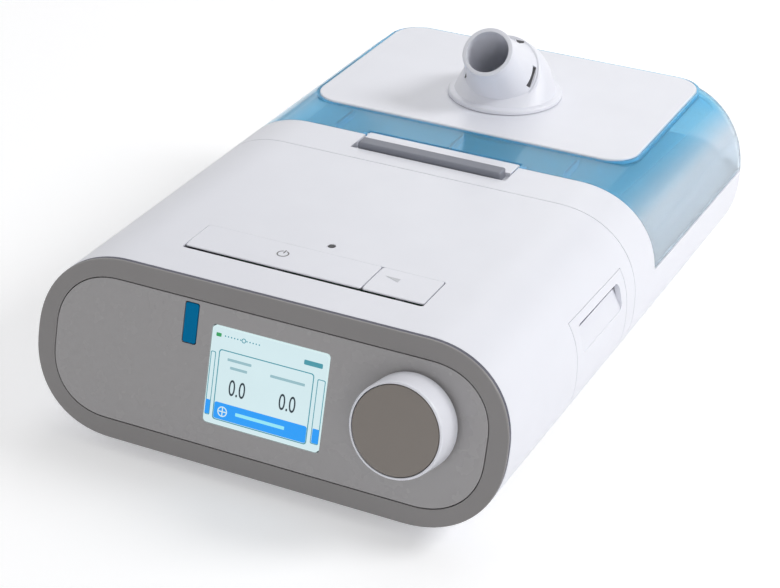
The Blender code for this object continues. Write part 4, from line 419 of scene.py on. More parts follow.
@contextmanager
def editing(item: Item) -> Iterator[None]:
    """Edit mode on one object, picking vertices, with nothing in its mesh selected."""
    choose(item)
    bpy.ops.object.mode_set(mode="EDIT")
    bpy.ops.mesh.select_mode(type="VERT")
    bpy.ops.mesh.select_all(action="DESELECT")
    yield
    bpy.ops.object.mode_set(mode="OBJECT")


def pick(item: Item, kind: str, test: Callable[[bmesh.types.BMVert], bool]) -> int:
    """Select the vertices, edges or faces that pass a test, in edit mode.

    Args:
        item: The object that is being edited.
        kind: VERT, EDGE or FACE.
        test: Says whether one of them is wanted.

    Returns:
        How many were selected.
    """
    bpy.ops.mesh.select_mode(type=kind)
    bpy.ops.mesh.select_all(action="DESELECT")
    mesh = bmesh.from_edit_mesh(item.data)
    parts = {"VERT": mesh.verts, "EDGE": mesh.edges, "FACE": mesh.faces}[kind]
    wanted = [part for part in parts if test(part)]
    for part in wanted:
        part.select_set(True)
    mesh.select_flush_mode()
    bmesh.update_edit_mesh(item.data)
    return len(wanted)


def runs_along(edge: bmesh.types.BMEdge, axis: int) -> bool:
    """Whether an edge lies along one axis."""
    direction = (edge.verts[0].co - edge.verts[1].co).normalized()
    return abs(direction[axis]) > 0.98


def shift(item: Item, move: Matrix) -> None:
    """Move an object's own mesh, so that the object itself stays at the origin, unturned and unscaled."""
    item.data.transform(move)


def everything() -> None:
    """Select the whole mesh, in edit mode."""
    bpy.ops.mesh.select_all(action="SELECT")


def bevel(width: float, segments: int, profile: float = 0.5) -> None:
    """Round the selected edges, in edit mode."""
    bpy.ops.mesh.bevel(offset=width, segments=segments, profile=profile, affect="EDGES")


def at(x: float = 0.0, y: float = 0.0, z: float = 0.0) -> Matrix:
    """Frame at a place, unturned."""
    return Matrix.Translation((x, y, z))


def both_sides(near: float, far: float) -> list[list[float]]:
    """The span between two distances, on the left and on the right."""
    return [sorted((side * near, side * far)) for side in (-1, 1)]


def just_made(name: str) -> Item:
    """The object that the last operator added, under its name."""
    item = bpy.context.object
    item.name = name
    return item


def block(name: str, low: Sequence[float], high: Sequence[float], frame: Matrix = HERE) -> Item:
    """Rectangular block between two corners, as a start or a cutter.

    Args:
        name: The object's name.
        low: Its lowest corner.
        high: Its highest corner.
        frame: The frame that the corners are in.

    Returns:
        The block.
    """
    bpy.ops.object.select_all(action="DESELECT")
    bpy.ops.mesh.primitive_cube_add(size=1)
    item = just_made(name)
    item.scale = [b - a for a, b in zip(low, high)]
    item.location = [(a + b) / 2 for a, b in zip(low, high)]
    bpy.ops.object.transform_apply(location=True, rotation=True, scale=True)
    shift(item, frame)
    return item


def rounded_plate(name: str, low: Sequence[float], high: Sequence[float], corner: float, edge: float = 0.0,
                  steps: int = 8, frame: Matrix = HERE) -> Item:
    """Plate with rounded plan corners and, if asked, a small round on its upper edge.

    Args:
        name: The object's name.
        low: Its lowest corner.
        high: Its highest corner.
        corner: Radius of the plan's corners.
        edge: Radius of the upper edge.
        steps: Facets in a corner.
        frame: The frame that the corners are in.

    Returns:
        The plate.
    """
    item = block(name, low, high)
    with editing(item):
        pick(item, "EDGE", lambda part: runs_along(part, 2))
        bevel(corner, steps)
        if edge > 0:
            pick(item, "EDGE", lambda part: min(vert.co.z for vert in part.verts) > high[2] - MERGE_DISTANCE)
            bevel(edge, 4)
    shift(item, frame)
    return item


def oval_plate(name: str, low: Sequence[float], high: Sequence[float], corner: Point, profile: float,
               steps: int = 20) -> Item:
    """Plate whose plan corners are parts of a superellipse with two radii.

    Args:
        name: The object's name.
        low: Its lowest corner.
        high: Its highest corner.
        corner: The corners' radii, across and up.
        profile: The bevel profile of the corners.
        steps: Facets in a corner.

    Returns:
        The plate.
    """
    stretch = corner[0] / corner[1]
    item = block(name, (low[0], 0, low[2]), (high[0], (high[1] - low[1]) * stretch, high[2]))
    with editing(item):
        pick(item, "EDGE", lambda part: runs_along(part, 2))
        bevel(corner[0], steps, profile)
    shift(item, at(y=low[1]) @ Matrix.Diagonal((1, 1 / stretch, 1, 1)))
    return item


def trace(name: str, points: Sequence[Point], closed: bool = False) -> Item:
    """Chain of edges in the XZ plane, drawn point by point.

    Args:
        name: The object's name.
        points: The chain's points, as across and up.
        closed: Whether the last point joins the first.

    Returns:
        The chain.
    """
    bpy.ops.object.select_all(action="DESELECT")
    bpy.ops.mesh.primitive_plane_add(size=1)
    item = just_made(name)
    with editing(item):
        everything()
        bpy.ops.mesh.merge(type="CENTER")
        bpy.ops.transform.translate(value=(points[0][0], 0, points[0][1]))
        for before, after in zip(points, points[1:]):
            step = (after[0] - before[0], 0, after[1] - before[1])
            bpy.ops.mesh.extrude_vertices_move(TRANSFORM_OT_translate={"value": step})
        if closed:
            ends = [Vector((across, 0, up)) for across, up in (points[0], points[-1])]
            pick(item, "VERT", lambda part: min((part.co - end).length for end in ends) < MERGE_DISTANCE)
            bpy.ops.mesh.edge_face_add()
    return item


def turned(name: str, points: Sequence[Point], frame: Matrix = HERE, steps: int = 72,
           ring: bool = False) -> Item:
    """Solid of revolution about the frame's Z.

    Args:
        name: The object's name.
        points: Half section, as radius and height.
        frame: Where the axis is.
        steps: Facets round the axis.
        ring: Whether the section closes on itself away from the axis.

    Returns:
        The solid.
    """
    item = trace(name, points, ring)
    with editing(item):
        everything()
        bpy.ops.mesh.spin(steps=steps, angle=math.tau, center=(0, 0, 0), axis=(0, 0, 1))
        everything()
        bpy.ops.mesh.remove_doubles(threshold=MERGE_DISTANCE)
        bpy.ops.mesh.normals_make_consistent(inside=False)
    shift(item, frame)
    return item


def band(name: str, radii: Point, heights: Point, frame: Matrix = HERE, steps: int = 96) -> Item:
    """Ring of rectangular section about the frame's Z.

    Args:
        name: The object's name.
        radii: Its inner and its outer radius.
        heights: Where it begins and ends along the axis.
        frame: Where the axis is.
        steps: Facets round the axis.

    Returns:
        The ring.
    """
    (inner, outer), (low, high) = radii, heights
    return turned(name, [(inner, low), (outer, low), (outer, high), (inner, high)], frame, steps, True)


def quarter_round(radius: float, high: float, edge: float) -> list[Point]:
    """Section of a rounded upper edge, from the flank to the top.

    Args:
        radius: Radius of the flank.
        high: Height of the top.
        edge: Radius of the round.

    Returns:
        The section's points, as radius and height.
    """
    angles = [QUARTER * step / 6 for step in range(7)]
    return [(radius - edge * (1 - math.cos(angle)), high - edge * (1 - math.sin(angle))) for angle in angles]


def rod(name: str, radius: float, low: float, high: float, frame: Matrix = HERE,
        steps: int = 48) -> Item:
    """Plain cylinder along the frame's Z, as a cutter or a small pin.

    Args:
        name: The object's name.
        radius: Its radius.
        low: Where it begins along the axis.
        high: Where it ends.
        frame: Where the axis is.
        steps: Facets round the axis.

    Returns:
        The cylinder.
    """
    bpy.ops.object.select_all(action="DESELECT")
    bpy.ops.mesh.primitive_cylinder_add(vertices=steps, radius=radius, depth=high - low)
    item = just_made(name)
    shift(item, frame @ at(z=(low + high) / 2))
    return item


def extruded(name: str, points: Sequence[Point], low: float, high: float,
             frame: Matrix = HERE) -> Item:
    """Outline in the frame's XZ plane, drawn out along its Y.

    Args:
        name: The object's name.
        points: The outline, as across and up.
        low: Where it begins along Y.
        high: Where it ends.
        frame: Where the outline lies.

    Returns:
        The solid.
    """
    item = trace(name, points, closed=True)
    with editing(item):
        everything()
        bpy.ops.mesh.edge_face_add()
        bpy.ops.mesh.extrude_region_move(TRANSFORM_OT_translate={"value": (0, high - low, 0)})
        everything()
        bpy.ops.mesh.normals_make_consistent(inside=False)
    shift(item, frame @ at(y=low))
    return item


def loft(name: str, stations: Sequence[tuple[Matrix, float]], steps: int) -> Item:
    """Solid whose skin runs through a row of circles.

    Args:
        name: The object's name.
        stations: Each circle's frame and radius.
        steps: Facets round it.

    Returns:
        The solid.
    """
    item = block(name, (0, 0, 0), (1, 1, 1))
    with editing(item):
        everything()
        bpy.ops.mesh.delete(type="VERT")
        for frame, radius in stations:
            bpy.ops.mesh.primitive_circle_add(vertices=steps, radius=radius, location=frame.translation,
                                              rotation=frame.to_euler())
        everything()
        bpy.ops.mesh.bridge_edge_loops()
        everything()
        bpy.ops.mesh.fill_holes(sides=0)
        bpy.ops.mesh.normals_make_consistent(inside=False)
    return item


def apply_modifier(item: Item, modifier: bpy.types.Modifier) -> None:
    """Make one modifier's result the object's own mesh."""
    choose(item)
    bpy.ops.object.modifier_apply(modifier=modifier.name)


def combine(item: Item, tool: Item, how: Union) -> None:
    """Join, cut or share one solid with another, which is used up.

    Args:
        item: The solid that is kept.
        tool: The other solid.
        how: What happens to the first.
    """
    modifier = item.modifiers.new("combine", "BOOLEAN")
    modifier.operation = how.value
    modifier.solver = "EXACT"
    modifier.object = tool
    apply_modifier(item, modifier)
    bpy.data.objects.remove(tool)


def take(item: Item, *tools: Item) -> None:
    """Cut a solid with others, one after another."""
    for tool in tools:
        combine(item, tool, Union.TAKE)


def add(item: Item, *tools: Item) -> None:
    """Join others to a solid, one after another."""
    for tool in tools:
        combine(item, tool, Union.ADD)


def slice_off(item: Item, point: Sequence[float], normal: Sequence[float], side: Side) -> None:
    """Cut a solid with a plane and close the cut.

    Args:
        item: The solid.
        point: A point on the plane.
        normal: The plane's direction.
        side: The side that is thrown away, as seen along the direction.
    """
    with editing(item):
        everything()
        bpy.ops.mesh.bisect(plane_co=point, plane_no=normal, use_fill=True,
                            clear_outer=side is Side.AHEAD, clear_inner=side is Side.BEHIND)


def round_edges(item: Item, width: float) -> None:
    """Small round on a solid's sharp edges."""
    modifier = item.modifiers.new("round", "BEVEL")
    modifier.width = width
    modifier.segments = 3
    modifier.limit_method = "ANGLE"
    modifier.angle_limit = SMOOTH_ANGLE
    modifier.harden_normals = False
    apply_modifier(item, modifier)


def weigh_normals(item: Item) -> None:
    """Keep broad faces flat where they meet small rounds."""
    modifier = item.modifiers.new("even", "WEIGHTED_NORMAL")
    modifier.keep_sharp = True
    apply_modifier(item, modifier)


@dataclass(frozen=True)
class BodyForm:
    """The rounded, gently rising form, and the measures that more than one assembly uses."""

    width: float = 0.193
    low: float = 0.005
    front_height: float = 0.0676
    slope: float = math.radians(1.55)
    tilt: float = math.radians(12.4)
    corner_width: float = 0.036
    corner_height: float = 0.0329
    corner_power: float = 2.185
    corner_steps: int = 22
    wall: float = 0.0022
    gap: float = 0.0003
    seam: float = 0.1373
    lid_front: float = 0.1606
    length: float = 0.287
    rear_plan: float = 0.0125
    rear_crown: float = 0.006
    rear_steps: int = 9
    rim: float = 0.0457
    rim_depth: float = 0.0009
    front_seam: float = 0.0013
    key_half: float = 0.0495
    key_far: float = 0.0560
    key_thick: float = 0.0022
    key_corner: float = 0.0012
    duct: Triple = (0.013, 0.0360, 0.0098)
    dial: Point = (0.0596, 0.03855)
    hinge: Triple = (0.0028, 0.0237, 0.0065)
    hinge_play: float = 0.0004
    hinge_bore: float = 0.0015
    pivot_y: float = 0.1628
    plate_proud: float = 0.0008
    elbow_y: float = 0.2280

    @property
    def half(self) -> float:
        """Half the body's width."""
        return self.width / 2

    @property
    def corner_profile(self) -> float:
        """The bevel profile that gives the corner's superellipse."""
        return 4 ** (-1 / self.corner_power)

    def top_z(self, y: float) -> float:
        """Height of the top at a distance behind the front."""
        behind = y - self.front_height * math.tan(self.tilt)
        return self.low + self.front_height + math.tan(self.slope) * behind

    def front_frame(self) -> Matrix:
        """Frame on the front panel: X across, Y up it, Z out of it."""
        return at(z=self.low) @ Matrix.Rotation(QUARTER - self.tilt, 4, "X")

    def hinge_axis(self) -> Matrix:
        """Frame on the lid's hinge, with Z across the machine."""
        return at(0, self.length, self.rim) @ ACROSS

    def top_frame(self, x: float, y: float, rise: float = 0.0) -> Matrix:
        """Frame on the top: X across, Y back, Z square to it."""
        return at(x, y, self.top_z(y)) @ Matrix.Rotation(self.slope, 4, "X") @ at(z=rise)

    def front_plane(self, depth: float) -> tuple[Vector, Vector]:
        """Point and outward direction of the plane that lies this far behind the front panel."""
        frame = self.front_frame()
        return frame @ Vector((0, 0, -depth)), frame.to_3x3() @ Vector((0, 0, 1))

    def blank(self, name: str, start: float, end: float, inset: float = 0.0) -> Item:
        """Solid bar of the body's section.

        Args:
            name: The object's name.
            start: Where it begins, behind the front.
            end: Where it ends.
            inset: How much thinner it is all round.

        Returns:
            The bar.
        """
        floor = self.low + inset
        near = self.top_z(start) - self.low
        far = self.top_z(end) - self.low
        reach = self.corner_width - inset
        rise = self.corner_height * near / self.front_height - inset
        stretch = reach / rise
        tall = (near - inset - inset) * stretch
        item = block(name, (inset - self.half, start, floor), (self.half - inset, end, floor + tall))
        with editing(item):
            pick(item, "EDGE", lambda part: runs_along(part, 1))
            bevel(reach, self.corner_steps, self.corner_profile)
            everything()
            bpy.ops.transform.resize(value=(1, 1, 1 / stretch), center_override=(0, start, floor))
            pick(item, "VERT", lambda part: part.co.y > (start + end) / 2)
            growth = (far - inset - inset) / (near - inset - inset)
            bpy.ops.transform.resize(value=(1, 1, growth), center_override=(0, end, floor))
        return item

    def rear_blank(self, name: str, start: float, inset: float = 0.0) -> Item:
        """Bar of the body's section that ends in the machine's rounded rear.

        Args:
            name: The object's name.
            start: Where it begins, behind the front.
            inset: How much thinner it is all round.

        Returns:
            The bar.
        """
        plan, crown = self.rear_plan - inset, self.rear_crown - inset / 2
        end = self.length - inset
        first = end - plan
        item = self.blank(name, start, first, inset)
        floor, y = self.low + inset, first
        half, height = self.half - inset, self.top_z(first) - self.low - inset - inset
        with editing(item):
            pick(item, "FACE", lambda part: part.normal.y > 0.9)
            for step in range(1, self.rear_steps + 1):
                angle = QUARTER * step / self.rear_steps
                next_y = first + plan * math.sin(angle)
                late = max(next_y - (end - crown), 0.0)
                drop = crown - math.sqrt(max(crown * crown - late * late, 0.0))
                next_half = self.half - inset - plan * (1 - math.cos(angle))
                next_height = self.top_z(next_y) - self.low - inset - inset - drop
                bpy.ops.mesh.extrude_region_move(TRANSFORM_OT_translate={"value": (0, next_y - y, 0)})
                bpy.ops.transform.resize(value=(next_half / half, 1, next_height / height),
                                         center_override=(0, next_y, floor))
                y, half, height = next_y, next_half, next_height
        return item


@dataclass
class Assembly:
    """What every sub-assembly needs: the body's form, the finishes and its place in the frame."""

    form: BodyForm
    finishes: dict[str, bpy.types.Material]
    datum: float
    made: list[str] = field(default_factory=list)

    def settle(self, item: Item, body: str, slot: str, *nodes: str,
               finish: str = "") -> None:
        """Put a finished piece in the frame, dress it and hang it on its body.

        Args:
            item: The piece.
            body: The body that it rides on.
            slot: The record's material slot.
            nodes: The nodes that it stands for.
            finish: Its finish, where that isn't the slot's own.

        Raises:
            ValueError: If an operator before this left the piece without a skin.
        """
        if len(item.data.polygons) < 4:
            raise ValueError(f"{item.name} has no skin")
        shift(item, at(y=self.datum))
        item.data.materials.clear()
        item.data.materials.append(self.finishes[finish or slot])
        choose(item)
        bpy.ops.object.shade_smooth_by_angle(angle=SMOOTH_ANGLE)
        weigh_normals(item)
        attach(item, body)
        if nodes:
            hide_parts(*nodes)
        self.made.append(item.name)
        LOG.info("%s rides on %s", item.name, body)


SUNK_NODES = [f"{kind}_{number}" for kind in ("foot", "case_screw") for number in range(1, 5)]


@dataclass
class DeviceCase(Assembly):
    """White case of the device, with the filter door in its right flank."""

    split_z: float = 0.014
    keys_near: float = 0.0355
    sensor: Triple = (-0.0004, 0.0621, 0.0013)
    door_y: Point = (0.0745, 0.1275)
    door_z: Point = (0.0245, 0.0590)
    slot_y: Point = (0.080, 0.122)
    slot_z: Point = (0.0450, 0.0560)
    slot_corner: float = 0.0025
    side_reach: float = 0.02
    foot_sink: float = 0.0010
    screw_sink: float = 0.0030
    screw_bore: float = 0.0018
    hinge_gap: float = 0.0001
    scoop_foot: Point = (0.0962, 0.0447)
    scoop_head: Point = (0.0920, 0.0529)
    scoop_thick: float = 0.0009

    def tube(self, name: str) -> Item:
        """The case as one open tube, before it is split."""
        form = self.form
        item = form.blank(name, 0.0, form.seam - form.gap / 2)
        slice_off(item, *form.front_plane(form.rim_depth + form.front_seam), Side.AHEAD)
        take(item, form.blank("hollow", -OVER, form.seam + OVER, form.wall))
        return item

    def cover(self) -> None:
        """Upper shell, with the gap for the keys, the sensor's hole and the door's opening."""
        form, gap = self.form, self.form.gap
        item = self.tube("cover_skin")
        slice_off(item, (0, 0, self.split_z + gap / 2), (0, 0, 1), Side.BEHIND)
        half, near = form.key_half + gap, self.keys_near
        low = (-half, -gap, -form.key_thick - OVER)
        high = (half, form.key_far - near + self.hinge_gap, OVER)
        take(item, rounded_plate("gap", low, high, form.key_corner, frame=form.top_frame(0, near)))
        x, y, radius = self.sensor
        take(item, rod("hole", radius + gap, -OVER, OVER, form.top_frame(x, y)))
        low = (form.half - self.side_reach, self.door_y[0] - gap, self.door_z[0] - gap)
        high = (form.half + OVER, self.door_y[1] + gap, self.door_z[1] + gap)
        take(item, block("opening", low, high))
        round_edges(item, 0.0004)
        self.settle(item, "housing", "white_shell", "top_cover")

    def underside(self) -> None:
        """Lower shell with its rear wall, and with seats for the feet and the screws."""
        form, gap = self.form, self.form.gap
        split = (0, 0, self.split_z - gap / 2)
        item = self.tube("underside_skin")
        slice_off(item, split, (0, 0, 1), Side.AHEAD)
        rear = form.seam - gap / 2
        foot = form.blank("wall_foot", rear - form.wall, rear, form.wall / 2)
        slice_off(foot, split, (0, 0, 1), Side.AHEAD)
        add(item, foot, form.blank("wall", rear - form.wall, rear, form.wall + gap))
        x, z, radius = form.duct
        out = at(x, rear, z) @ Matrix.Rotation(QUARTER, 4, "X")
        take(item, rod("outlet", radius + gap, -OVER, form.wall + OVER, out))
        for node in SUNK_NODES:
            low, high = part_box(node)
            place = at((low.x + high.x) / 2, (low.y + high.y) / 2 - self.datum)
            seat = form.low + (self.foot_sink if node.startswith("foot") else self.screw_sink)
            take(item, rod("seat", (high.x - low.x) / 2 + gap, -OVER, seat, place))
            if node.startswith("case"):
                take(item, rod("bore", self.screw_bore, -OVER, form.low + form.wall + OVER, place))
        round_edges(item, 0.0003)
        self.settle(item, "housing", "white_shell", "bottom_case")

    def door(self) -> None:
        """Curved filter door with its air slot."""
        form, reach = self.form, self.side_reach
        item = form.blank("door_skin", *self.door_y)
        take(item, form.blank("hollow", self.door_y[0] - OVER, self.door_y[1] + OVER, form.wall))
        keep = block("keep", (form.half - reach, 0, self.door_z[0]), (form.half + OVER, LONG, self.door_z[1]))
        combine(item, keep, Union.SHARE)
        low, high = self.slot_z
        half, near, far = (high - low) / 2, *self.slot_y
        turn = at(form.half, 0, (low + high) / 2) @ ACROSS
        slot = rounded_plate("slot", (-half, near, -reach), (half, far, reach), self.slot_corner, frame=turn)
        take(item, slot)
        round_edges(item, 0.0004)
        self.settle(item, "filter_flap", "white_shell", "filter_door")

    def scoop(self) -> None:
        """Pale face that slopes in from the slot's lower edge and leaves a dark slit above it."""
        foot, head = Vector(self.scoop_foot), Vector(self.scoop_head)
        back = (head - foot).orthogonal().normalized() * self.scoop_thick
        outline = [tuple(point) for point in (foot, head, head + back, foot + back)]
        item = extruded("scoop_skin", outline, self.slot_y[0] - OVER / 4, self.slot_y[1] + OVER / 4)
        round_edges(item, 0.0002)
        self.settle(item, "filter_flap", "white_shell")

    def build(self) -> None:
        """Make the case."""
        self.cover()
        self.underside()
        self.door()
        self.scoop()


@dataclass(frozen=True)
class Mark:
    """One flat area of the display: where it is, as shares from the display's upper left, and its finish."""

    name: str
    left: float
    top: float
    right: float
    bottom: float
    finish: str
    corner: float = 0.0004
    line: float = 0.0


SCREEN_MARKS = (
    Mark("ui_ground", 0.0, 0.0, 1.0, 1.0, "ui_pale", 0.0014),
    Mark("ui_title", 0.80, 0.10, 0.96, 0.150, "ui_teal", 0.0004),
    Mark("ui_card", 0.07, 0.22, 0.90, 0.96, "ui_teal", 0.0012, 0.0004),
    Mark("ui_card_foot", 0.08, 0.77, 0.89, 0.945, "ui_blue", 0.0008),
    Mark("ui_label_left_1", 0.15, 0.295, 0.36, 0.323, "ui_teal_soft", 0.0002),
    Mark("ui_label_left_2", 0.18, 0.375, 0.33, 0.403, "ui_teal_soft", 0.0002),
    Mark("ui_label_right", 0.53, 0.345, 0.83, 0.373, "ui_teal_soft", 0.0002),
    Mark("ui_foot_word", 0.27, 0.835, 0.70, 0.870, "ui_foot_pale", 0.0002),
    Mark("ui_side_left", -0.005, 0.26, 0.045, 0.93, "ui_teal", 0.0006, 0.0003),
    Mark("ui_side_left_foot", 0.0, 0.77, 0.04, 0.92, "ui_blue", 0.0004),
    Mark("ui_side_right", 0.93, 0.26, 1.0, 0.93, "ui_teal", 0.0006, 0.0003),
    Mark("ui_side_right_foot", 0.94, 0.77, 0.998, 0.92, "ui_blue", 0.0004),
    Mark("ui_arrow", 0.03, 0.06, 0.075, 0.098, "ui_green", 0.0003),
)


@dataclass
class FrontPanel(Assembly):
    """Warm grey bezel, glossy lens, status window and the lit display."""

    span: Point = (-0.004, 0.03)
    depth: float = 0.006
    round: float = 0.0005
    # How far inside the skin the dark sheet in the seam's gap stands; that sheet paints the gap's shade
    seam_sink: float = 0.00012
    inset_x: float = 0.0078
    inset_z: float = 0.0071
    corner: Point = (0.0254, 0.0228)
    lens: float = 0.0018
    lens_round: float = 0.00025
    ledge: float = 0.003
    through: float = 0.01
    shaft_hole: float = 0.0049
    screen: tuple[float, float, float, float] = (0.00125, 0.03563, 0.0483, 0.03788)
    screen_corner: float = 0.0015
    status: tuple[float, float, float, float] = (-0.032, 0.0525, 0.006, 0.0158)
    status_corner: float = 0.0008
    border: float = 0.0012
    dots: int = 12
    ring_dot: int = 6
    digit_width: float = 0.66
    digit_size: float = 0.0088
    digit_rise: float = 0.00006

    def lens_solid(self, name: str, inset: float, low: float, high: float) -> Item:
        """Prism of the lens's outline on the front plane."""
        form = self.form
        rise = 1 / math.cos(form.tilt)
        half = form.half - self.inset_x - inset
        foot = (self.inset_z + inset) * rise
        head = (form.front_height - self.inset_z - inset) * rise
        corner = (self.corner[0] - inset, (self.corner[1] - inset) * rise)
        item = oval_plate(name, (-half, foot, low), (half, head, high), corner, form.corner_profile)
        shift(item, form.front_frame())
        return item

    def window(self, name: str, place: Sequence[float], shrink: float, low: float, high: float,
               corner: float) -> Item:
        """Rounded prism over a window of the lens."""
        x, up, width, height = place
        return rounded_plate(name, (x - width / 2 + shrink, up - height / 2 + shrink, low),
                             (x + width / 2 - shrink, up + height / 2 - shrink, high), corner,
                             frame=self.form.front_frame())

    def layer(self, name: str, near: float, far: float, inset: float = 0.0) -> Item:
        """Slice of the body's section between two depths behind the front."""
        item = self.form.blank(name, *self.span, inset)
        slice_off(item, *self.form.front_plane(near), Side.AHEAD)
        slice_off(item, *self.form.front_plane(far), Side.BEHIND)
        return item

    def bezel(self) -> None:
        """Thin rounded rim, the core behind it whose ledge carries the lens, and a dark sheet in the seam's
        gap that paints the gap's shade.
        """
        form = self.form
        rim = form.rim_depth
        item = self.layer("bezel_skin", 0.0, rim)
        point, normal = form.front_plane(0.0)
        with editing(item):
            pick(item, "EDGE", lambda part: all(abs((vert.co - point).dot(normal)) < 5 * MERGE_DISTANCE
                                                for vert in part.verts))
            bevel(self.round, 5)
        add(item, self.layer("core", rim / 2, self.depth, form.wall + form.gap))
        take(item, self.lens_solid("through", self.ledge, -2 * self.through, self.through),
             self.lens_solid("seat", 0.0, -self.lens - form.gap, self.through))
        round_edges(item, self.lens_round)
        self.settle(item, "housing", "warm_grey", "front_bezel")
        # Dark sheet almost flush in the gap between rim and cover: painted shade where the real gap is dark
        # only from shadow
        shadow = self.layer("front_seam", rim, rim + form.front_seam, self.seam_sink)
        take(shadow, form.blank("hollow", -self.through, 0.04, form.wall))
        self.settle(shadow, "housing", "warm_grey", finish="seam_dark")

    def lens_plate(self) -> None:
        """Lens with its display, status and dial openings, and what sits in them."""
        form, deep, gap = self.form, self.through, self.form.gap
        item = self.lens_solid("lens_skin", gap, -self.lens, 0.0)
        take(item, self.window("display_cut", self.screen, 0.0, -deep, deep, self.screen_corner),
             self.window("status_cut", self.status, 0.0, -deep, deep, self.status_corner),
             rod("shaft_cut", self.shaft_hole, -deep, deep, form.front_frame() @ at(*form.dial)))
        round_edges(item, self.lens_round)
        self.settle(item, "housing", "panel_grey", "front_lens")
        glass = self.window("display_skin", self.screen, gap, -self.lens, 0.0, self.screen_corner)
        self.settle(glass, "housing", "screen_pale", "display_glass")
        light = self.window("status_skin", self.status, gap, -self.lens, 0.0, self.status_corner)
        round_edges(light, 0.0002)
        self.settle(light, "housing", "blue_light", "status_light")

    def spot(self, across: float, down: float) -> Point:
        """Panel place of a share across and down the display."""
        x, up, width, height = self.screen
        return x + (across - 0.5) * (width - self.border), up + (0.5 - down) * (height - self.border)

    def on_screen(self, across: float, down: float, rise: float = 0.0) -> Matrix:
        """Frame at a share across and down the display."""
        return self.form.front_frame() @ at(*self.spot(across, down), rise)

    def on_path(self, index: int) -> Matrix:
        """Frame at one of the places in the row of dots."""
        return self.on_screen(0.11 + 0.027 * index, 0.078)

    def lit(self, item: Item, finish: str) -> None:
        """Settle a mark of the display."""
        self.settle(item, "housing", "screen_pale", finish=finish)

    def marks(self) -> None:
        """Flat areas of the display, each a thin plate just over the one below."""
        for level, mark in enumerate(SCREEN_MARKS):
            left, high = self.spot(max(mark.left, 0.0), mark.top)
            right, low = self.spot(mark.right, mark.bottom)
            top = 0.00003 + 0.000004 * level
            item = rounded_plate(mark.name, (left, low, 0.0), (right, high, top), mark.corner, steps=6)
            line = mark.line
            if line > 0:
                take(item, rounded_plate("inner", (left + line, low + line, -0.001),
                                         (right - line, high - line, 0.001), mark.corner - line / 2, steps=6))
            shift(item, self.form.front_frame())
            self.lit(item, mark.finish)

    def path(self) -> None:
        """Row of dots beside the arrow, with one place left free for the ring."""
        section = [(0, 0), (0.00030, 0), (0.00026, 0.0001), (0, 0.0001)]
        for index in range(self.dots):
            if index != self.ring_dot:
                self.lit(turned(f"ui_path_dot_{index + 1}", section, self.on_path(index), 12), "ui_teal")

    def numbers(self) -> None:
        """Two plain readings, the ring on the path, and the ring and cross on the card's foot."""
        for name, across in (("ui_reading_left", 0.26), ("ui_reading_right", 0.70)):
            bpy.ops.object.select_all(action="DESELECT")
            bpy.ops.object.text_add()
            item = just_made(name)
            item.data.body = "0.0"
            item.data.size = self.digit_size
            item.data.align_x = item.data.align_y = "CENTER"
            item.data.extrude = self.digit_rise
            choose(item)
            bpy.ops.object.convert(target="MESH")
            narrow = Matrix.Diagonal((self.digit_width, 1, 1, 1))
            shift(item, self.on_screen(across, 0.60, self.digit_rise) @ narrow)
            self.lit(item, "ui_ink")
        ring = band("ui_path_ring", (0.0006, 0.0009), (0, 0.0001), self.on_path(self.ring_dot), 32)
        self.lit(ring, "ui_teal")
        place, rise = self.on_screen(0.155, 0.86), 0.00012
        self.lit(band("ui_foot_ring", (0.0016, 0.0020), (0, rise), place, 40), "ui_pale")
        for name, across, tall in (("ui_foot_bar", 0.0016, 0.0002), ("ui_foot_post", 0.0002, 0.0016)):
            self.lit(block(name, (-across, -tall, 0), (across, tall, rise), place), "ui_pale")

    def build(self) -> None:
        """Make the front panel."""
        self.bezel()
        self.lens_plate()
        self.marks()
        self.path()
        self.numbers()


@dataclass
class Dial(Assembly):
    """White knob with a matt grey cap."""

    foot: float = 0.0015
    proud: float = 0.0153
    foot_radius: float = 0.0182
    top_radius: float = 0.0179
    rim: float = 0.0010
    round: float = 0.0010
    cap: float = 0.0022
    dome: float = 0.0006
    wall: float = 0.0018
    disc: float = 0.0016
    hub: Triple = (0.0052, 0.0033, 0.008)
    steps: int = 112

    def build(self) -> None:
        """Make the dial."""
        frame = self.form.front_frame() @ at(*self.form.dial)
        gap = self.form.gap
        high = self.proud - self.dome
        seat = self.top_radius - self.rim
        floor = high - self.cap - gap
        under = floor - self.disc
        hub, bore, reach = self.hub
        arc = quarter_round(self.top_radius, high, self.round)
        arc = [point for point in arc if point[0] > seat + gap / 2]
        inner = self.foot_radius - self.wall
        profile = [(0, under), (bore, under), (bore, under - reach), (hub, under - reach), (hub, under),
                   (inner, under), (inner, self.foot), (self.foot_radius - 0.0003, self.foot),
                   (self.foot_radius, self.foot + 0.0003), *arc, (seat, high - 0.0001), (seat, floor),
                   (0, floor)]
        self.settle(turned("knob_skin", profile, frame, self.steps), "dial", "white_shell", "dial_knob")
        edge = seat - gap
        dome = [(edge * out, high + self.dome * up) for out, up in ((0.75, 0.45), (0.5, 0.75), (0.25, 0.94))]
        cap = [(0, floor + gap), (edge, floor + gap), (edge, high - 0.0005), (edge - 0.00015, high - 0.00015),
               (edge - 0.0005, high), *dome, (0, self.proud)]
        self.settle(turned("cap_skin", cap, frame, self.steps), "dial", "cap_grey", "dial_cap")


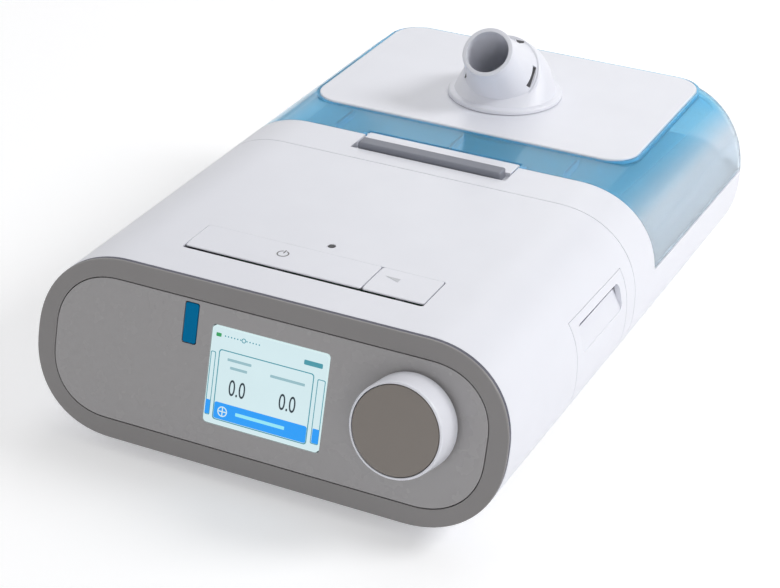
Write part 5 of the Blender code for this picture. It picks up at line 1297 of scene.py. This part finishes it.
@dataclass
class TopKeys(Assembly):
    """Two flap keys with their printed signs."""

    near: float = 0.0373
    divide: float = 0.024
    front_round: float = 0.0004
    lip: float = 0.0005
    lip_reach: float = 0.0030
    stems: Point = (-0.0136, 0.0365)
    stem: Triple = (0.0445, 0.0016, 0.0041)
    power: Point = (-0.0136, 0.0479)
    ramp: Point = (0.031, 0.0490)
    ink: float = 0.00005

    def flap(self, name: str, left: float, right: float, stem: float, body: str, node: str) -> None:
        """One flap, cut back under its front edge, and the stem over its switch.

        Args:
            name: The flap's name.
            left: Where it begins.
            right: Where it ends.
            stem: Where the stem is, across the machine.
            body: The body that it rides on.
            node: The node that it stands for.
        """
        form, lip = self.form, self.lip
        corner, thick = form.key_corner, form.key_thick
        item = rounded_plate(name, (left, 0, -thick), (right, form.key_far - self.near, 0), corner)
        with editing(item):
            pick(item, "EDGE", lambda part: min(vert.co.z for vert in part.verts) > -MERGE_DISTANCE
                 and max(vert.co.y for vert in part.verts) < corner + MERGE_DISTANCE)
            bevel(self.front_round, 5)
        take(item, block("under_lip", (left - lip, -lip, -thick - lip), (right + lip, self.lip_reach, -lip)))
        shift(item, form.top_frame(0, self.near))
        back, radius, reach = self.stem
        add(item, rod("stem", radius, -thick - reach, -thick / 2, form.top_frame(stem, back)))
        self.settle(item, body, "white_shell", node)

    def sign(self, item: Item, body: str, place: Point, finish: str = "print_grey") -> None:
        """Lay a printed sign on a key."""
        shift(item, self.form.top_frame(*place))
        self.settle(item, body, "panel_grey", finish=finish)

    def build(self) -> None:
        """Make the keys."""
        gap, half, ink = self.form.gap, self.form.key_half, self.ink
        self.flap("therapy_flap", -half, self.divide - gap, self.stems[0], "therapy_key", "therapy_button")
        self.flap("ramp_flap", self.divide + gap, half - gap, self.stems[1], "ramp_key", "ramp_button")
        ring = band("power_ring", (0.0019, 0.0024), (0, ink), HERE, 48)
        take(ring, block("slot", (-0.0007, 0.0008, -0.001), (0.0007, 0.004, 0.001)))
        self.sign(ring, "therapy_key", self.power)
        bar = rounded_plate("power_bar", (-0.00026, 0.0004, 0), (0.00026, 0.0029, ink), 0.0002)
        self.sign(bar, "therapy_key", self.power)
        wedge = [(-0.0030, -0.0012), (0.0030, -0.0012), (0.0030, 0.0014)]
        slope = extruded("ramp_wedge", wedge, 0, ink, BACKWARD)
        shift(slope, Matrix.Rotation(math.pi, 4, "X") @ at(z=-ink))
        self.sign(slope, "ramp_key", self.ramp, "print_pale")


@dataclass
class HumidifierBase(Assembly):
    """White arch behind the device and the tray that holds the tank."""

    wall: float = 0.0024
    pocket: Triple = (0.0348, 0.1463, 0.0680)
    inlet: Triple = (0.045, 0.022, 0.0058)

    def build(self) -> None:
        """Make the base."""
        form, gap = self.form, self.form.gap
        start, arch = form.seam + gap / 2, form.lid_front - gap / 2
        item = form.rear_blank("base_skin", start)
        take(item, form.rear_blank("hollow", start + self.wall, self.wall),
             block("above", (-WIDE, arch, form.rim - gap), (WIDE, form.length + OVER, TALL)))
        half, near, floor = self.pocket
        wide, top = half + self.wall, form.top_z(form.seam) - self.wall / 2
        add(item, block("pocket", (-wide, start + self.wall / 2, floor - self.wall), (wide, arch, top)))
        x, z, radius = form.duct
        take(item, block("pocket_cut", (-half, near, floor), (half, arch + OVER, TALL)),
             rod("duct", radius + gap, -OVER, self.wall + OVER, at(x, start, z) @ BACKWARD))
        x, z, radius = self.inlet
        take(item, rod("inlet", radius + gap, -self.wall - OVER, OVER, at(x, form.length, z) @ BACKWARD))
        radius, reach, ear = form.hinge
        axis = form.hinge_axis()
        take(item, rod("notch", radius + form.hinge_play, -reach - gap, reach + gap, axis))
        for span in both_sides(reach + gap, reach + gap + ear):
            add(item, rod("ear", radius, *span, axis))
        take(item, rod("bore", form.hinge_bore, -0.05, 0.05, axis))
        round_edges(item, 0.0004)
        self.settle(item, "housing", "white_shell", "humidifier_base")


@dataclass
class Lid(Assembly):
    """Clear blue shell over the tank with the white plate on it."""

    wall: float = 0.0030
    plate_y: Point = (0.1840, 0.2830)
    plate_half: float = 0.0737
    plate_corner: float = 0.0130
    plate_round: float = 0.0007
    plate: float = 0.0024
    border: float = 0.0013
    stage_rise: float = 0.0002
    stage_depth: float = 0.0052
    elbow_hole: float = 0.0204
    notch_half: float = 0.0348
    notch_play: float = 0.0005
    ear: Triple = (0.0032, 0.0052, 0.0050)
    rib: Triple = (0.052, 0.0006, 0.0035)
    pivot_depth: float = 0.0015
    pivot_bore: Point = (0.0013, 0.0372)

    def plan(self, name: str, grow: float, low: float, high: float, edge: float = 0.0) -> Item:
        """Prism of the plate's plan on the top, grown outward."""
        half, near, far = self.plate_half + grow, *self.plate_y
        return rounded_plate(name, (-half, -grow, low), (half, far - near + grow, high),
                             self.plate_corner + grow, edge, 16, self.form.top_frame(0, near))

    def throat(self) -> Item:
        """Cutter for the hole that the elbow turns in."""
        axis = self.form.top_frame(0, self.form.elbow_y, self.form.plate_proud)
        return rod("throat", self.elbow_hole, -0.01, OVER, axis, 72)

    def fit_latch(self, item: Item, start: float) -> None:
        """Give the shell its ribs and, at its front edge, the latch's ears, notch and bore."""
        front, pivot = self.form.top_frame(0, start), self.form.pivot_y - start
        wide, deep, long = self.ear
        pitch, half, drop = self.rib
        under = -self.wall / 2
        for x in (-pitch, 0.0, pitch):
            add(item, block("rib", (x - half, pivot + long, -self.wall - drop),
                            (x + half, self.plate_y[0] - start, under), front))
        for left, right in both_sides(self.notch_half, self.notch_half + wide):
            add(item, block("ear", (left, 0, -deep), (right, pivot + long, under), front))
        rear = pivot + self.pivot_depth + self.notch_play
        pin = front @ at(0, pivot, -self.pivot_depth) @ ACROSS
        radius, reach = self.pivot_bore
        notch = block("notch", (-self.notch_half, -OVER, -deep - OVER), (self.notch_half, rear, OVER), front)
        take(item, notch, rod("latch_bore", radius, -reach, reach, pin, 24))

    def fit_hinge(self, item: Item) -> None:
        """Give the shell its knuckle, the notches beside it and its bore."""
        form = self.form
        radius, reach, ear = form.hinge
        axis = form.hinge_axis()
        for span in both_sides(reach, reach + ear + form.gap + form.gap):
            take(item, rod("ear_notch", radius + form.hinge_play, *span, axis))
        add(item, rod("knuckle", radius, -reach, reach, axis))
        take(item, rod("hinge_bore", form.hinge_bore, -0.03, 0.03, axis))

    def build(self) -> None:
        """Make the shell with its raised stage, and the plate in it."""
        form, gap = self.form, self.form.gap
        proud = form.plate_proud
        start = form.lid_front + gap / 2
        item = form.rear_blank("shell_skin", start)
        add(item, self.plan("stage", self.border, -self.stage_depth, self.stage_rise))
        take(item, form.rear_blank("hollow", start - OVER, self.wall),
             block("below", (-WIDE, 0, 0), (WIDE, LONG, form.rim + gap)),
             self.plan("recess", gap, proud - self.plate - gap, OVER), self.throat())
        self.fit_latch(item, start)
        self.fit_hinge(item)
        round_edges(item, 0.0004)
        self.settle(item, "lid", "clear_blue", "lid_shell")
        item = self.plan("plate_skin", 0.0, proud - self.plate, proud, self.plate_round)
        take(item, self.throat())
        self.settle(item, "lid", "white_shell", "lid_plate")


@dataclass
class Latch(Assembly):
    """Lever on the lid's front edge with the toothed grey grip."""

    half: float = 0.0339
    grip_half: float = 0.0320
    seat_y: float = 0.1537
    front_y: float = 0.1472
    seat: float = 0.0019
    deep: float = 0.0041
    hook: Triple = (0.1500, 0.0026, 0.0072)
    heel: float = 0.0030
    barrel: float = 0.0015
    pin: Point = (0.0010, 0.0369)
    grip_height: float = 0.0040
    grip_round: float = 0.0009
    teeth: int = 13
    tooth_gap: Triple = (0.0005, 0.0014, 0.0010)

    def lever(self, frame: Matrix, start: float) -> None:
        """White lever with its hook, rounded about its pin."""
        gap, deep, barrel = self.form.gap, self.deep, self.barrel
        front, seat, pivot = self.front_y - start, self.seat_y - start + gap, self.form.pivot_y - start
        hook, thick, low = self.hook[0] - start, *self.hook[1:]
        outline = [(front, -deep), (hook, -deep), (hook, -low), (hook + thick, -low), (hook + thick, -deep),
                   (pivot - self.heel, -deep)]
        for step in range(13):
            angle = math.pi * step / 12 - QUARTER
            outline.append((pivot + barrel * math.cos(angle), -barrel + barrel * math.sin(angle)))
        outline += [(seat, 0.0), (seat, -self.seat), (front, -self.seat)]
        turn = frame @ Matrix.Rotation(QUARTER, 4, "Z")
        item = extruded("lever_skin", outline, -self.half, self.half, turn)
        radius, reach = self.pin
        add(item, rod("pin", radius, -reach, reach, frame @ at(0, pivot, -barrel) @ ACROSS, 24))
        round_edges(item, 0.0003)
        self.settle(item, "latch", "white_shell", "latch_lever")

    def grip(self, frame: Matrix, start: float) -> None:
        """Grey grip with a rounded top and a row of teeth along its front foot."""
        front, low = self.front_y - start, self.form.gap - self.seat
        item = block("grip_skin", (-self.grip_half, front, low),
                     (self.grip_half, self.seat_y - start, low + self.grip_height))
        middle = low + self.grip_height / 2
        with editing(item):
            pick(item, "EDGE", lambda part: max(vert.co.z for vert in part.verts) > middle)
            bevel(self.grip_round, 6)
        half, deep, high = self.tooth_gap
        pitch = 2 * self.grip_half / self.teeth
        for index in range(1, self.teeth):
            x = pitch * index - self.grip_half
            take(item, block("tooth_gap", (x - half, front - OVER, low - OVER),
                             (x + half, front + deep, low + high)))
        shift(item, frame)
        self.settle(item, "latch", "latch_grey", "latch_grip")

    def build(self) -> None:
        """Make the latch."""
        start = self.form.lid_front + self.form.gap / 2
        frame = self.form.top_frame(0, start)
        self.lever(frame, start)
        self.grip(frame, start)


# The window, slot and nick in the collar, and the dark grey sheet on the end wall of each, which paints the
# shade in these recesses
COLLAR_CUTS = (
    ((-0.0062, 0.0122, 0.0002), (0.0062, 0.0212, 0.0078)),
    ((0.0127, -0.0048, 0.0004), (0.0212, 0.0048, 0.0028)),
    ((-0.0212, -0.0063, 0.0004), (-0.0130, -0.0041, 0.0028)),
)
COLLAR_SHADE_SHEETS = (
    ("window_lining", (-0.0060, 0.0126, 0.0001), (0.0060, 0.0154, 0.0005)),
    ("slot_lining", (0.0131, -0.0046, 0.0003), (0.0151, 0.0046, 0.0007)),
    ("nick_lining", (-0.0151, -0.0062, 0.0003), (-0.0133, -0.0042, 0.0007)),
)


@dataclass
class Elbow(Assembly):
    """Swivel elbow with its slotted collar and the port for the hose."""

    base: Triple = (0.0250, 0.0018, 0.0009)
    flank_radius: float = 0.0225
    spigot: Point = (0.0200, 0.0062)
    throat: Point = (0.0140, 0.0055)
    collar: tuple[float, float, float, float] = (0.0172, 0.0021, 0.0005, 0.0011)
    collar_place: Point = (-0.0058, 0.0122)
    # Proud width and overlap of the dark ring in the collar's groove, which paints the groove's shade
    line: Point = (0.0002, 0.0001)
    elevation: float = math.radians(42)
    port: Triple = (0.0112, 0.0224, 0.0175)
    flare_power: float = 1.6
    bore: Point = (0.0093, 0.0125)
    around: float = 0.03
    flank_steps: int = 14
    steps: int = 96

    def foot_frame(self) -> Matrix:
        """Frame at the swivel's axis on the lid plate."""
        return self.form.top_frame(0, self.form.elbow_y, self.form.plate_proud)

    def port_frame(self) -> Matrix:
        """Frame of the port in the elbow's own frame, with Z out of it."""
        return at(0, *self.collar_place) @ Matrix.Rotation(QUARTER - self.elevation, 4, "X")

    def flank(self) -> Item:
        """Leaning body between the round foot and the tilted collar."""
        turn = QUARTER - self.elevation
        radius, thick, groove, _ = self.collar
        foot = Vector((0, 0, self.base[1] - self.form.gap))
        neck = Vector((0, *self.collar_place)) - thick * Vector((0, -math.sin(turn), math.cos(turn)))
        knee = Vector((0, 0, neck.z))
        stations = []
        for index in range(self.flank_steps + 1):
            share = index / self.flank_steps
            middle = foot * (1 - share) ** 2 + knee * 2 * share * (1 - share) + neck * share ** 2
            lean = Matrix.Translation(middle) @ Matrix.Rotation(turn * share, 4, "X")
            stations.append((lean, self.flank_radius + (radius - groove - self.flank_radius) * share))
        item = loft("flank", stations, self.steps)
        with editing(item):
            everything()
            bpy.ops.mesh.convex_hull()
        return item

    def port_section(self) -> list[Point]:
        """Half section of the collar and the flared port."""
        radius, thick, groove, lip = self.collar
        neck, reach, flare = self.port
        profile = [(0, -thick - 0.0005), (radius - groove, -thick - 0.0005), (radius - groove, -thick),
                   (radius - 0.0002, -thick), (radius, 0.0002 - thick), (radius, -0.0003),
                   (radius - 0.0003, 0.0)]
        for share in (index / 16 for index in range(17)):
            profile.append((neck + (radius - lip - neck) * (1 - share) ** self.flare_power, flare * share))
        return profile + [(neck, reach - 0.0006), (neck - 0.0002, reach - 0.0002), (neck - 0.0006, reach),
                          (0, reach)]

    def notched_port(self) -> Item:
        """Collar and port, with the window, slot and nick cut in the collar before it is tilted."""
        item = turned("port", self.port_section(), HERE, self.steps)
        take(item, *(block("collar_cut", low, top) for low, top in COLLAR_CUTS))
        shift(item, self.port_frame())
        return item

    def build(self) -> None:
        """Make the elbow upright about its own axis, then lean it with the lid."""
        gap, around = self.form.gap, self.around
        radius, high, edge = self.base
        spigot, deep = self.spigot
        throat, rise = self.throat
        bore, back = self.bore
        arc = quarter_round(radius, gap + high, edge)
        item = turned("elbow_skin", [(0, -0.003), (radius, -0.003), *arc, (0, gap + high)], HERE, self.steps)
        add(item, self.flank(), self.notched_port())
        take(item, block("under", (-around, -around, -around), (around, around, gap)),
             rod("throat", throat, -deep - OVER, rise, HERE, 72),
             rod("bore", bore, -back, self.port[1] + OVER, self.port_frame(), self.steps))
        shift(item, self.foot_frame())
        self.settle(item, "elbow", "white_shell", "elbow")
        sleeve = band("elbow_spigot", (throat, spigot), (-deep, gap), self.foot_frame())
        self.settle(sleeve, "elbow", "white_shell")
        tilted = self.foot_frame() @ self.port_frame()
        # Dark grey sheets on the end walls of the window, slot and nick: painted shade in these recesses
        for name, low, top in COLLAR_SHADE_SHEETS:
            self.settle(block(name, low, top, tilted), "elbow", "white_shell", finish="slot_grey")
        # Dark ring in the groove under the collar, kept only on the lower left where the shade falls: painted
        # shade
        outer, thick, groove, _ = self.collar
        proud, over = self.line
        ring = band("collar_line", (outer - groove, outer + proud), (-thick - proud, over - thick))
        near_side = block("near_side", (-around, -around, -around), (-0.0020, 0.0060, around))
        combine(ring, near_side, Union.SHARE)
        shift(ring, tilted)
        self.settle(ring, "elbow", "white_shell", finish="slot_grey")


def dress_nodes(frame: dict, finishes: dict[str, bpy.types.Material]) -> None:
    """Give every CAD node the finish of its material slot."""
    for part in frame["record"]["subparts"]:
        mesh = frame["nodes"][part["node"]].data
        mesh.materials.clear()
        mesh.materials.append(finishes[part["material_slot"]])


@dataclass(frozen=True)
class PhotoView:
    """Camera that a perspective fit of the photograph gave."""

    place: Triple = (0.31883, -0.72059, 0.41988)
    azimuth: float = math.radians(24.311)
    elevation: float = math.radians(26.685)
    roll: float = math.radians(2.438)
    lens: float = 97.62
    shift: Point = (-0.0133, -0.0139)

    def build(self) -> None:
        """Make the camera."""
        back = Vector((math.sin(self.azimuth) * math.cos(self.elevation),
                       -math.cos(self.azimuth) * math.cos(self.elevation), math.sin(self.elevation)))
        right = (-back).cross(Vector((0, 0, 1))).normalized()
        up = right.cross(-back)
        across = right * math.cos(self.roll) + up * math.sin(self.roll)
        upward = up * math.cos(self.roll) - right * math.sin(self.roll)
        data = bpy.data.cameras.new("photo_camera")
        data.lens = self.lens
        data.sensor_width = 36
        data.shift_x, data.shift_y = self.shift
        data.clip_start = 0.01
        item = bpy.data.objects.new("photo_camera", data)
        item.matrix_world = at(*self.place) @ Matrix((across, upward, back)).transposed().to_4x4()
        bpy.context.scene.collection.objects.link(item)
        bpy.context.scene.camera = item


AIM = Vector((0, 0, 0.04))


@dataclass(frozen=True)
class Lamp:
    """One soft studio lamp, aimed at the machine."""

    name: str
    place: Triple
    size: float
    power: float

    def build(self) -> None:
        """Make the lamp."""
        data = bpy.data.lights.new(self.name, "AREA")
        data.shape = "DISK"
        data.size = self.size
        data.energy = self.power
        item = bpy.data.objects.new(self.name, data)
        item.location = self.place
        item.rotation_euler = (AIM - Vector(self.place)).to_track_quat("-Z", "Y").to_euler()
        bpy.context.scene.collection.objects.link(item)


LAMPS = (
    Lamp("lamp_key", (1.05, 0.42, 0.90), 0.50, 9.8),
    Lamp("lamp_overhead", (-0.20, 0.35, 1.25), 0.8, 2.0),
    Lamp("lamp_left", (-1.10, -0.70, 0.80), 0.7, 1.0),
    Lamp("lamp_front", (0.70, -1.30, 0.40), 0.8, 3.2),
    Lamp("lamp_back", (-0.30, 1.20, 0.90), 0.8, 1.6),
)


@dataclass
class Studio:
    """White sweep under the machine, an even surround and the lamps."""

    reach: float = 6.0
    surround: float = 0.38
    glow: float = 0.30

    def background_rays(self, tree: bpy.types.NodeTree) -> Socket:
        """One for rays that look at the background, straight, by reflection or through something clear.

        Args:
            tree: The material's or the world's node tree.

        Returns:
            The socket, which is nought for light that falls on things.
        """
        path = tree.nodes.new("ShaderNodeLightPath")
        total = path.outputs["Is Camera Ray"]
        for kind in ("Is Glossy Ray", "Is Transmission Ray"):
            most = tree.nodes.new("ShaderNodeMath")
            most.operation = "MAXIMUM"
            tree.links.new(total, most.inputs[0])
            tree.links.new(path.outputs[kind], most.inputs[1])
            total = most.outputs[0]
        return total

    def floor(self) -> None:
        """Floor that reads as plain white and still takes the machine's shadow."""
        bpy.ops.object.select_all(action="DESELECT")
        bpy.ops.mesh.primitive_plane_add(size=self.reach)
        item = just_made("studio_floor")
        graph = Graph("studio_floor")
        graph.fix(Base_Color=(0.86, 0.86, 0.87, 1), Roughness=0.7, Emission_Color=(1, 1, 1, 1))
        glow = graph.add("ShaderNodeMath")
        glow.operation = "MULTIPLY"
        glow.inputs[1].default_value = self.glow
        graph.link(self.background_rays(graph.tree), glow.inputs[0])
        graph.feed("Emission Strength", glow.outputs[0])
        item.data.materials.append(graph.material)

    def world(self) -> None:
        """Even surround, which the camera sees as white."""
        world = bpy.data.worlds.new("studio_world")
        world.use_nodes = True
        tree = world.node_tree
        back = fill(tree.nodes["Background"], {"Color": (1, 1, 1, 1)})
        mix = fill(tree.nodes.new("ShaderNodeMix"), {"A": self.surround, "B": 1.0})
        tree.links.new(self.background_rays(tree), mix.inputs["Factor"])
        tree.links.new(mix.outputs["Result"], back.inputs["Strength"])
        bpy.context.scene.world = world

    def build(self) -> None:
        """Make the studio."""
        self.floor()
        self.world()
        for lamp in LAMPS:
            lamp.build()
        bpy.context.scene.view_settings.view_transform = "Standard"


def main() -> None:
    """Build the scene."""
    logging.basicConfig(level=logging.INFO, format="%(message)s")
    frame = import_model()
    form = BodyForm()
    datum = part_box("humidifier_base")[0].y - form.seam - form.gap / 2
    finishes = {finish.name: finish.build() for finish in FINISHES}
    dress_nodes(frame, finishes)
    for kind in (DeviceCase, FrontPanel, Dial, TopKeys, HumidifierBase, Lid, Latch, Elbow):
        assembly = kind(form, finishes, datum)
        assembly.build()
        LOG.info("%s has %d fine pieces", kind.__name__, len(assembly.made))
    Studio().build()
    PhotoView().build()


if __name__ == "__main__":
    main()
